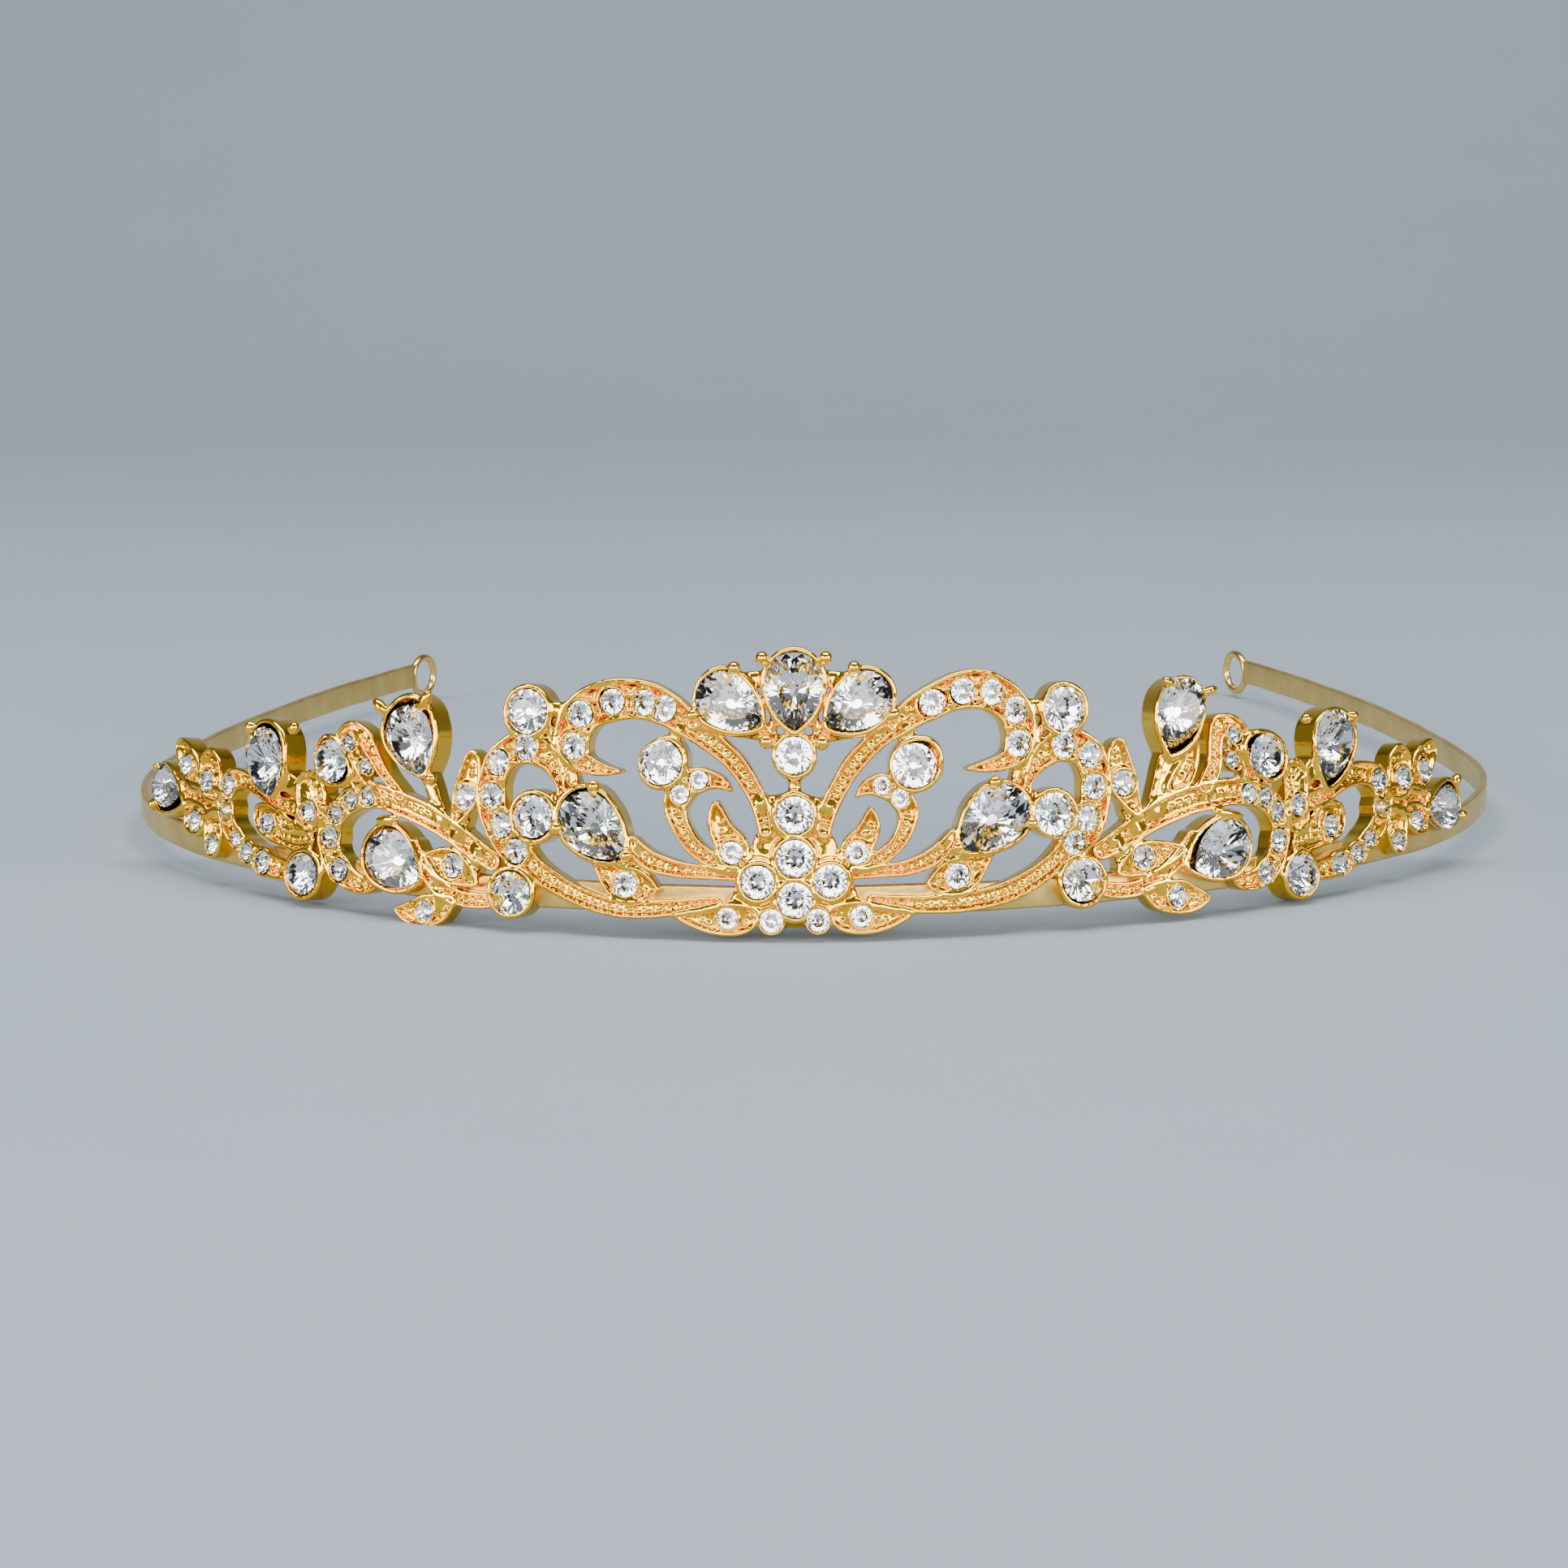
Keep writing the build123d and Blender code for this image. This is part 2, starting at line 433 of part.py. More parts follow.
def build():
    os.makedirs("parts", exist_ok=True)
    strip, loop, other = headband()
    save("headband_strip", [strip])
    save("end_loop_right", [loop])
    save("end_loop_left", [other])

    paired = HUB_SIDE + SHOULDER + HOOK + INNER + KNUCKLE + CENTRE_LEAF + HOOK_CHIPS + UPPER_SCROLL + LOWER_SCROLL
    centre_rounds = CREST_DROP + STEM + HUB_UPPER + HUB_LOWER + both_sides(paired)
    centre_bars = [STEM_BAR] + both_sides([MAIN_SCROLL, HOOK_SCROLL, UPPER_BAR, LOWER_SCROLL_BAR] + LINKS)
    centre_leaves = [HUB] + both_sides([UP_LEAF, LOW_LEAF, RIM_LEAF])
    centre_pears = CREST_PEAR + both_sides(SIDE_CREST_PEAR + SCROLL_PEAR)
    leaf_seats = round_seats(both_sides(SIDE_LEAF))
    centre = casting(-36.0, 36.0, centre_bars, centre_leaves, centre_rounds, centre_pears, leaf_seats)
    save("centre_scroll_casting", [centre])

    side_bars = [SIDE_BAR, SIDE_RIM, CURL, C_BAR] + SIDE_LINKS
    side_leaves = [SIDE_UP_LEAF, SIDE_MID_LEAF, SIDE_LOW_LEAF, FLOWER_LEAF, FLOWER_TONGUE]
    side_rounds = SIDE_LEAF + CURL_CHIPS + SIDE_SCROLL + SMALL_FLOWER + C_SCROLL + UPPER_SIDE + LOWER_SIDE
    side_pears = TALL_PEAR + LOW_PEAR + REAR_PEAR
    end_leaves = [END_LEAF_A, END_LEAF_B, END_LEAF_C, END_LEAF_D]
    centre_seats = round_seats(centre_rounds)
    right = casting(28.0, 72.9, side_bars, side_leaves, side_rounds, side_pears, [centre] + centre_seats)
    save("side_scroll_casting_right", [right])
    end = casting(71.2, 90.0, [END_STEM], end_leaves, END_FLOWER, END_PEAR, [])
    save("end_flower_casting_right", [end])

    side_rounds = left_side(side_rounds)
    side_pears = left_side(side_pears)
    left = casting(-72.9, -28.0, left_side(side_bars), left_side(side_leaves), side_rounds, side_pears,
                   [centre] + centre_seats)
    save("side_scroll_casting_left", [left])
    end = casting(-90.0, -71.2, left_side([END_STEM]), left_side(end_leaves), left_side(END_FLOWER),
                  left_side(END_PEAR), [])
    save("end_flower_casting_left", [end])

    save("crest_centre_pear", [set_pear(s) for s in CREST_PEAR])
    for name, stones in (("crest_drop_round", CREST_DROP), ("stem_round", STEM), ("hub_upper_round", HUB_UPPER),
                         ("hub_lower_round", HUB_LOWER)):
        save(name, [set_round(s) for s in stones])
    for name, stones in (("crest_pear", SIDE_CREST_PEAR), ("scroll_pear", SCROLL_PEAR), ("tall_side_pear", TALL_PEAR),
                         ("low_side_pear", LOW_PEAR), ("rear_pear", REAR_PEAR), ("end_pear", END_PEAR)):
        save_pair(name, set_pear, stones)
    for name, stones in (("hub_side_rounds", HUB_SIDE), ("shoulder_round", SHOULDER), ("hook_round", HOOK),
                         ("inner_round", INNER), ("knuckle_round", KNUCKLE), ("upper_side_round", UPPER_SIDE),
                         ("lower_side_round", LOWER_SIDE), ("centre_leaf_rounds", CENTRE_LEAF),
                         ("hook_chips", HOOK_CHIPS), ("upper_scroll_rounds", UPPER_SCROLL),
                         ("lower_scroll_rounds", LOWER_SCROLL), ("side_leaf_rounds", SIDE_LEAF),
                         ("curl_chips", CURL_CHIPS), ("side_scroll_rounds", SIDE_SCROLL),
                         ("small_flower_rounds", SMALL_FLOWER), ("c_scroll_rounds", C_SCROLL),
                         ("end_flower_rounds", END_FLOWER)):
        save_pair(name, set_round, stones)


build()
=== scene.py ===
from math import cos, pi, radians, sin

import bpy
import numpy as np
import openvdb
from mathutils import Euler, Matrix, Vector


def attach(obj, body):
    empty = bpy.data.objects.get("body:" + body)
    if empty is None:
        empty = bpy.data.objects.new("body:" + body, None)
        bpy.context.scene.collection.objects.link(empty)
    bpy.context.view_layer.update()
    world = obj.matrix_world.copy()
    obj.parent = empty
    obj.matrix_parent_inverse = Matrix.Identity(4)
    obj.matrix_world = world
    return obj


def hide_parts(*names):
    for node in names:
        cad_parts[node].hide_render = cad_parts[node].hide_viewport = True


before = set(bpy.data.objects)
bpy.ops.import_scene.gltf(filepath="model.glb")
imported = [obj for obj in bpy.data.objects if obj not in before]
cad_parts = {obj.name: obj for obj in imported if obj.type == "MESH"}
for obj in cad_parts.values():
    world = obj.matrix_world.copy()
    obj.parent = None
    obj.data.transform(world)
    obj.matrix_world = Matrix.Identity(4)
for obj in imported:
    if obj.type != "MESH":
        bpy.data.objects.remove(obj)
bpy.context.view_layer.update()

MM = 0.001

# ---------------------------------------------------------------- layout, in millimetres
FRONT_RADIUS, FRONT_LENGTH = 87.1, 71.2
SIDE_RADIUS, SIDE_LENGTH = 56.15, 49.8
TAIL_RADIUS, TAIL_LENGTH = 226.0, 300.0
LEAN = 0.156
BASE = 0.8
BAND_FRONT, BAND_BACK = 2.3, 3.1
BAND_LOW, BAND_HIGH = 1.5, 4.5
BAND_CORNER = 0.22
BAND_END = 193.85
LOOP_AT, LOOP_HEIGHT = 196.5, 2.6
LOOP_RADIUS, LOOP_WIRE = 2.4, 0.47

# stones: heights as shares of the radius, widths as shares of the outline
CROWN, PAVILION = 0.36, 0.6
TABLE, KITE, EDGE, CULET = 0.56, 0.82, 0.985, 0.16
KITE_HEIGHT = 0.52
GIRDLE, EDGE_HEIGHT, CULET_LIFT = 0.25, 0.2, 0.03
ROUND_SIDES, PEAR_SIDES = 16, 24
LARGE_STONE = 1.6
SMALL_SETBACK = 0.35

CREST_DROP = [(0, 17.8, 1.9)]
STEM = [(0, 11.9, 1.9)]
HUB_UPPER = [(0, 7.6, 1.9)]
HUB_LOWER = [(0, 3.5, 1.8)]
HUB_SIDE = [(3.7, 5.3, 1.7), (2.35, 1.4, 1.2)]
SHOULDER = [(28.8, 21.5, 2.3)]
HOOK = [(13.2, 16.8, 2.3)]
INNER = [(27.4, 11.1, 2.2)]
KNUCKLE = [(29.8, 3.8, 2.25)]
UPPER_SIDE = [(52.9, 14.8, 2.3)]
LOWER_SIDE = [(56.0, 2.5, 2.2)]
CENTRE_LEAF = [(6.4, 8.1, 1.15), (6.8, 1.7, 1.1), (17.1, 5.1, 1.3)]
HOOK_CHIPS = [(9.5, 15.0, 0.95), (11.4, 13.6, 0.95)]
UPPER_SCROLL = [(14.1, 22.5, 1.35), (16.9, 23.3, 1.3), (20.2, 23.2, 1.3), (23.2, 21.6, 1.35),
                (23.6, 18.3, 1.35)]
LOWER_SCROLL = [(28.8, 17.9, 1.3), (31.8, 16.5, 1.3), (32.2, 13.2, 1.3), (31.1, 10.2, 1.3), (29.4, 7.8, 1.25)]
SIDE_LEAF = [(35.4, 13.1, 1.3), (36.8, 5.8, 1.25), (40.2, 1.2, 1.1)]
CURL_CHIPS = [(50.0, 17.1, 0.9), (48.5, 14.7, 0.9)]
SIDE_SCROLL = [(49.1, 11.4, 1.0), (51.3, 10.8, 1.0), (53.0, 9.2, 1.0), (53.2, 6.5, 1.2), (51.4, 3.4, 1.2)]
SMALL_FLOWER = [(56.4, 9.3, 1.15), (61.7, 7.0, 1.15)]
C_SCROLL = [(69.3, 10.4, 1.2), (69.4, 7.7, 1.2), (67.0, 4.8, 0.95), (64.9, 3.6, 1.1), (62.2, 2.9, 1.25)]
END_FLOWER = [(73.6, 10.2, 1.25), (78.2, 10.8, 1.25), (75.3, 5.5, 1.2), (71.4, 3.7, 1.1)]

CREST_PEAR = [(0, 25.1, -90, 3.0, 4.9)]
SIDE_CREST_PEAR = [(7.5, 23.4, 214, 2.8, 4.9)]
SCROLL_PEAR = [(21.6, 11.3, 220, 3.0, 5.6)]
TALL_PEAR = [(42.7, 19.8, 247, 2.9, 4.9)]
LOW_PEAR = [(45.6, 6.0, 203, 2.95, 4.7)]
REAR_PEAR = [(63.0, 15.1, 250, 2.9, 4.9)]
END_PEAR = [(82.6, 7.1, 186, 2.4, 5.0)]

MAIN_SCROLL = [(3.0, 10.4, 1.6), (3.6, 12.8, 1.9), (4.7, 14.9, 2.0), (6.0, 16.8, 2.1), (7.7, 18.4, 2.2),
               (9.8, 20.0, 2.4), (11.9, 21.4, 3.0), (14.1, 22.6, 3.5), (17.0, 23.5, 3.9), (20.1, 23.3, 4.2),
               (22.9, 21.7, 4.1), (23.8, 18.8, 3.7), (22.6, 16.9, 2.2), (20.5, 16.2, 1.4), (18.3, 16.0, 0.5)]
HOOK_SCROLL = [(5.2, 7.0, 1.5), (7.2, 7.0, 1.6), (9.0, 7.7, 1.7), (10.6, 9.0, 1.8), (11.7, 10.8, 2.0),
               (12.0, 12.5, 2.4), (11.2, 14.0, 2.6), (9.4, 15.0, 2.3), (7.6, 14.8, 1.4), (6.5, 14.0, 0.4)]
UPPER_BAR = [(4.5, 6.0, 1.4), (9.0, 6.2, 1.4), (12.0, 6.5, 1.7), (14.8, 7.5, 2.0), (16.6, 9.2, 1.4)]
LOWER_SCROLL_BAR = [(24.3, 13.0, 0.6), (25.0, 15.2, 1.4), (26.4, 17.0, 2.6), (28.9, 18.0, 3.4),
                    (31.5, 16.6, 3.4), (32.4, 13.4, 3.4), (31.4, 10.1, 3.4), (29.3, 7.7, 3.3),
                    (26.9, 5.9, 2.4), (24.0, 4.3, 2.2), (21.0, 3.2, 2.1), (17.5, 2.6, 2.0),
                    (14.0, 2.6, 1.9), (10.5, 2.9, 1.6), (8.0, 3.2, 1.4)]
LINKS = [[(9.6, 20.6, 1.0), (3.4, 19.6, 1.0)], [(11.9, 19.9, 1.6), (12.8, 18.6, 1.6)],
         [(25.0, 21.9, 1.6), (26.9, 21.8, 1.6)], [(25.0, 17.6, 1.0), (26.6, 20.2, 1.0)],
         [(22.8, 13.4, 1.4), (25.2, 13.0, 1.4)], [(23.2, 14.0, 1.2), (24.2, 17.4, 1.2)],
         [(24.0, 11.2, 1.4), (25.8, 11.2, 1.4)], [(1.2, 13.2, 1.5), (3.6, 12.8, 1.5)],
         [(1.7, 22.4, 1.0), (2.8, 19.2, 1.0)], [(2.6, 25.4, 1.6), (5.6, 25.2, 1.6)],
         [(16.6, 8.8, 1.6), (17.2, 6.2, 1.4)], [(29.3, 7.6, 1.8), (29.7, 5.6, 1.8)],
         [(2.8, 19.9, 1.0), (1.4, 19.1, 1.0)], [(4.4, 6.0, 2.0), (6.2, 2.2, 2.0)]]
STEM_BAR = [(0, 16.6, 1.3), (0, 13.0, 1.3)]
UP_LEAF = [(4.6, 6.6), (4.9, 9.3), (6.4, 10.9), (8.0, 13.0), (8.9, 11.0), (8.2, 8.5), (7.4, 7.0)]
LOW_LEAF = [(3.6, 2.6), (6.5, 3.3), (9.6, 2.7), (12.3, 1.9), (9.4, 0.3), (6.2, -0.1), (4.0, 0.7)]
RIM_LEAF = [(13.6, 4.6), (15.4, 6.6), (17.6, 7.1), (20.5, 7.3), (20.2, 5.8), (18.9, 4.0), (17.2, 3.2),
            (15.2, 3.4)]
HUB = [(0, 11.0), (3.4, 10.4), (4.6, 8.2), (5.0, 5.4), (4.2, 2.2), (0, 0.7), (-4.2, 2.2), (-5.0, 5.4),
       (-4.6, 8.2), (-3.4, 10.4)]

SIDE_BAR = [(32.2, 6.7, 2.0), (34.3, 7.7, 2.4), (37.5, 9.4, 2.6), (41.0, 10.7, 2.8), (44.5, 11.4, 2.8),
            (47.5, 11.7, 2.8), (50.3, 11.2, 2.8), (52.6, 9.5, 2.8), (53.4, 6.9, 2.8), (52.2, 4.2, 2.7),
            (50.1, 2.8, 2.4), (47.9, 2.5, 1.7), (46.2, 3.1, 0.5)]
SIDE_RIM = [(31.2, 3.0, 1.4), (33.5, 2.6, 1.7), (36.0, 2.7, 1.7), (38.5, 3.7, 1.8), (40.6, 5.4, 1.8),
            (42.0, 7.4, 1.4)]
CURL = [(44.2, 12.4, 1.6), (46.0, 14.4, 1.7), (46.9, 16.3, 1.9), (48.0, 17.9, 2.3), (49.9, 17.9, 2.7),
        (51.1, 16.6, 2.0), (50.5, 14.9, 1.7), (50.1, 12.4, 1.7)]
SIDE_LINKS = [[(38.6, 10.4, 1.8), (40.0, 13.8, 1.8), (41.0, 16.0, 1.8)], [(53.3, 8.0, 1.8), (56.0, 8.4, 2.0)],
              [(52.3, 4.2, 1.8), (54.4, 3.2, 1.8)], [(57.2, 11.0, 2.2), (60.4, 12.6, 2.2)],
              [(35.6, 10.6, 1.4), (36.6, 8.6, 1.4)], [(34.6, 5.0, 1.4), (34.0, 7.6, 1.4)],
              [(39.0, 4.4, 1.4), (38.6, 2.2, 1.4)]]
SIDE_UP_LEAF = [(36.9, 9.8), (35.0, 11.0), (33.8, 12.8), (33.5, 15.0), (34.0, 17.2), (35.4, 17.7),
                (36.4, 15.4), (37.0, 12.8)]
SIDE_MID_LEAF = [(33.6, 4.4), (35.6, 7.0), (38.2, 7.5), (41.2, 6.4), (39.5, 4.6), (37.2, 3.9), (35.0, 3.8)]
SIDE_LOW_LEAF = [(36.4, 2.7), (37.3, 0.5), (39.6, -0.5), (42.2, -0.4), (44.0, 0.9), (42.2, 2.1), (40.2, 3.0)]
FLOWER_LEAF = [(55.0, 7.0), (54.3, 9.6), (54.4, 12.0), (55.6, 13.6), (57.2, 13.7), (58.2, 12.4), (58.0, 9.6),
               (57.8, 7.0)]
FLOWER_TONGUE = [(55.2, 6.4), (58.6, 8.2), (61.6, 9.3), (63.7, 8.8), (63.8, 6.8), (62.2, 5.4), (59.0, 4.7),
                 (56.0, 4.6)]
C_BAR = [(58.2, 9.4, 1.8), (61.4, 10.0, 1.8), (64.0, 10.9, 1.9), (66.6, 11.4, 2.3), (69.0, 10.7, 2.8),
         (69.9, 8.6, 2.7), (68.9, 6.3, 2.6), (66.9, 4.8, 2.4), (64.6, 3.6, 2.5), (62.0, 2.9, 2.7),
         (59.6, 2.6, 2.4), (57.4, 2.6, 1.8)]

END_STEM = [(70.3, 8.6, 2.2), (73.0, 8.0, 3.2), (76.2, 7.6, 3.4), (79.0, 7.4, 3.0)]
END_LEAF_A = [(70.9, 8.4), (70.7, 10.6), (71.6, 12.8), (73.6, 13.8), (75.2, 12.6), (75.0, 10.2), (73.6, 8.2)]
END_LEAF_B = [(74.6, 8.8), (75.6, 11.2), (77.2, 13.0), (80.2, 13.7), (81.4, 12.4), (79.8, 10.4), (77.4, 8.6)]
END_LEAF_C = [(70.9, 7.6), (69.6, 5.4), (70.2, 3.1), (71.9, 2.3), (73.0, 4.2), (73.2, 6.6)]
END_LEAF_D = [(73.2, 7.2), (73.4, 5.0), (75.2, 3.9), (77.2, 4.4), (77.4, 6.4), (76.6, 7.4)]

BEND_REACH = 5.0
BENDS = [(6.5, 3.5, -0.1, 0.1), (13, 17, -0.9, -0.2), (17.5, 23, 1.1, 0.5), (7, 14, 0, -0.3),
         (20, 10, -0.2, 0.4), (17, 4, -0.4, 0.3), (29, 13, -0.3, -0.1), (30, 4, 0, 0.6),
         (35, 14, -0.3, 0.6), (42.5, 19, -0.1, 1.4),
         (45, 6, 0.9, 0.3), (40, 1, 0.2, 0.6), (50, 17, -1.6, 0.2), (49.5, 12, 1.4, -0.2), (53, 6, 0, -0.5),
         (56.5, 10, 0.3, 0.4), (62.5, 14.5, -0.4, 0.8), (62.5, 7, -0.7, -0.4), (82, 7.5, -1.1, -1.3)]

# ---------------------------------------------------------------- casting profile, in millimetres
CELL = 0.13
RIM_TOP = -0.25
FLOOR_DEPTH = -0.95
LEAF_FLOOR = -0.8
LIP = 0.05
SMALL_LIP = -0.28
BAR_DEPTH = 2.5
CUP_DEPTH = 3.1
CUP_WALL = 0.5
LEAF_DEPTH = 2.0
HUB_FACE = -0.55
ROUND_POCKET, PEAR_POCKET, SMALL_POCKET = -1.85, -2.3, -1.6
POCKET_SLOPE = 0.22
RIM_WIDTH, RIM_FALL, RIM_CROWN = 0.34, 0.3, 0.07
BEAD_SPACING, LEAF_BEAD_SPACING = 0.95, 0.72
FIELD_LOW, FIELD_HIGH = -2.5, 31.0
BEZEL_WALL = 0.26
EDGE_ROUND = 0.24
FILLET = 0.35
LINE_STEP = 0.1


def plan(u):
    """Plan curve point and heading for arrays of arc length u."""
    u = np.asarray(u, float)
    side = np.where(u < 0, -1.0, 1.0)
    left = np.abs(u)
    x = np.zeros_like(left)
    y = np.zeros_like(left)
    heading = np.zeros_like(left)
    for length, radius in ((FRONT_LENGTH, FRONT_RADIUS), (SIDE_LENGTH, SIDE_RADIUS),
                           (TAIL_LENGTH, TAIL_RADIUS)):
        turn = np.clip(left, 0, length) / radius
        x = x + radius * (np.sin(heading + turn) - np.sin(heading))
        y = y + radius * (np.cos(heading) - np.cos(heading + turn))
        heading = heading + turn
        left = np.clip(left - length, 0, None)
    return side * x, y, side * heading


def bent(u, w):
    """Where hand setting moved the points (u, w); u is negative on the left side."""
    u = np.asarray(u, float)
    w = np.asarray(w, float)
    side = np.where(u < 0, -1.0, 1.0)
    new_u = np.abs(u)
    new_w = w.copy()
    ease = np.minimum(np.abs(u) / 3, 1)
    for at_u, at_w, du, dw in BENDS:
        pull = np.exp(-((np.abs(u) - at_u) ** 2 + (w - at_w) ** 2) / BEND_REACH ** 2) * ease
        new_u = new_u + side * du * pull
        new_w = new_w + side * dw * pull
    return side * new_u, new_w


def to_world(u, w, out):
    """Metres in the row frame for layout points (u, w) standing `out` in front of the face."""
    new_u, new_w = bent(u, w)
    x, y, heading = plan(new_u)
    size = np.sqrt(1 + LEAN ** 2)
    x = x - LEAN * new_w * np.sin(heading) + out * np.sin(heading) / size
    y = y + LEAN * new_w * np.cos(heading) - out * np.cos(heading) / size
    z = new_w + BASE + out * LEAN / size
    return np.stack([x, y, np.maximum(z, 0.02)], -1) * MM


def local_frame(u, w):
    """4x4 matrix of the face at (u, w): x along the band, y up the face, z outward."""
    new_u, new_w = bent(u, w)
    x, y, heading = [float(v) for v in plan(new_u)]
    size = (1 + LEAN ** 2) ** 0.5
    out = Vector((sin(heading) / size, -cos(heading) / size, LEAN / size))
    along = Vector((cos(heading), sin(heading), 0))
    up = out.cross(along)
    origin = Vector([float(v) for v in to_world(u, w, 0.0)])
    return Matrix.Translation(origin) @ Matrix((along, up, out)).transposed().to_4x4()


def smooth_line(points, closed=False):
    """Catmull-Rom curve through the points, sampled evenly enough for a union of discs."""
    p = np.array(points, float)
    if len(p) == 2:
        n = max(int(np.hypot(*(p[1] - p[0])[:2]) / LINE_STEP), 2)
        t = np.linspace(0, 1, n)[:, None]
        return p[0] * (1 - t) + p[1] * t
    if closed:
        q = np.vstack([p[-1], p, p[0], p[1]])
    else:
        q = np.vstack([2 * p[0] - p[1], p, 2 * p[-1] - p[-2]])
    out = []
    for i in range(1, len(q) - 2):
        a, b, c, d = q[i - 1], q[i], q[i + 1], q[i + 2]
        n = max(int(np.hypot(*(c - b)[:2]) / LINE_STEP), 2)
        t = np.linspace(0, 1, n, endpoint=False)[:, None]
        out.append(0.5 * ((2 * b) + (c - a) * t + (2 * a - 5 * b + 4 * c - d) * t ** 2
                          + (3 * b - a - 3 * c + d) * t ** 3))
    if not closed:
        out.append(p[-1][None])
    return np.vstack(out)


def value_noise(shape, cells, seed):
    """Smooth random field between -1 and 1 with features of about `cells` grid cells."""
    rng = np.random.default_rng(seed)
    small = rng.uniform(-1, 1, (int(shape[0] / cells) + 3, int(shape[1] / cells) + 3))
    a = np.arange(shape[0]) / cells
    b = np.arange(shape[1]) / cells
    i, j = a.astype(int), b.astype(int)
    s = (a - i)[:, None]
    t = (b - j)[None, :]
    s = s * s * (3 - 2 * s)
    t = t * t * (3 - 2 * t)
    return ((small[i][:, j] * (1 - s) + small[i + 1][:, j] * s) * (1 - t)
            + (small[i][:, j + 1] * (1 - s) + small[i + 1][:, j + 1] * s) * t)


def pear_points(r, reach, count):
    """Closed outline of a pear, round end at the origin, tip towards +x."""
    flank = (r * r + reach * reach) / (2 * r)
    span = np.arctan2(reach, flank - r)
    top = [(flank * np.sin(a), flank * np.cos(a) - flank + r) for a in np.linspace(0, span, count)]
    low = [(x, -y) for x, y in reversed(top[:-1])]
    end = [(r * np.cos(a), r * np.sin(a)) for a in np.linspace(1.5 * pi, 0.5 * pi, count)[1:-1]]
    return np.array(top + low + end)


def pear_outline(u, w, tip, radius, reach):
    """The pear outline placed in the layout."""
    p = pear_points(radius, reach, 40)
    c, s = cos(radians(tip)), sin(radians(tip))
    return np.stack([u + p[:, 0] * c - p[:, 1] * s, w + p[:, 0] * s + p[:, 1] * c], -1)


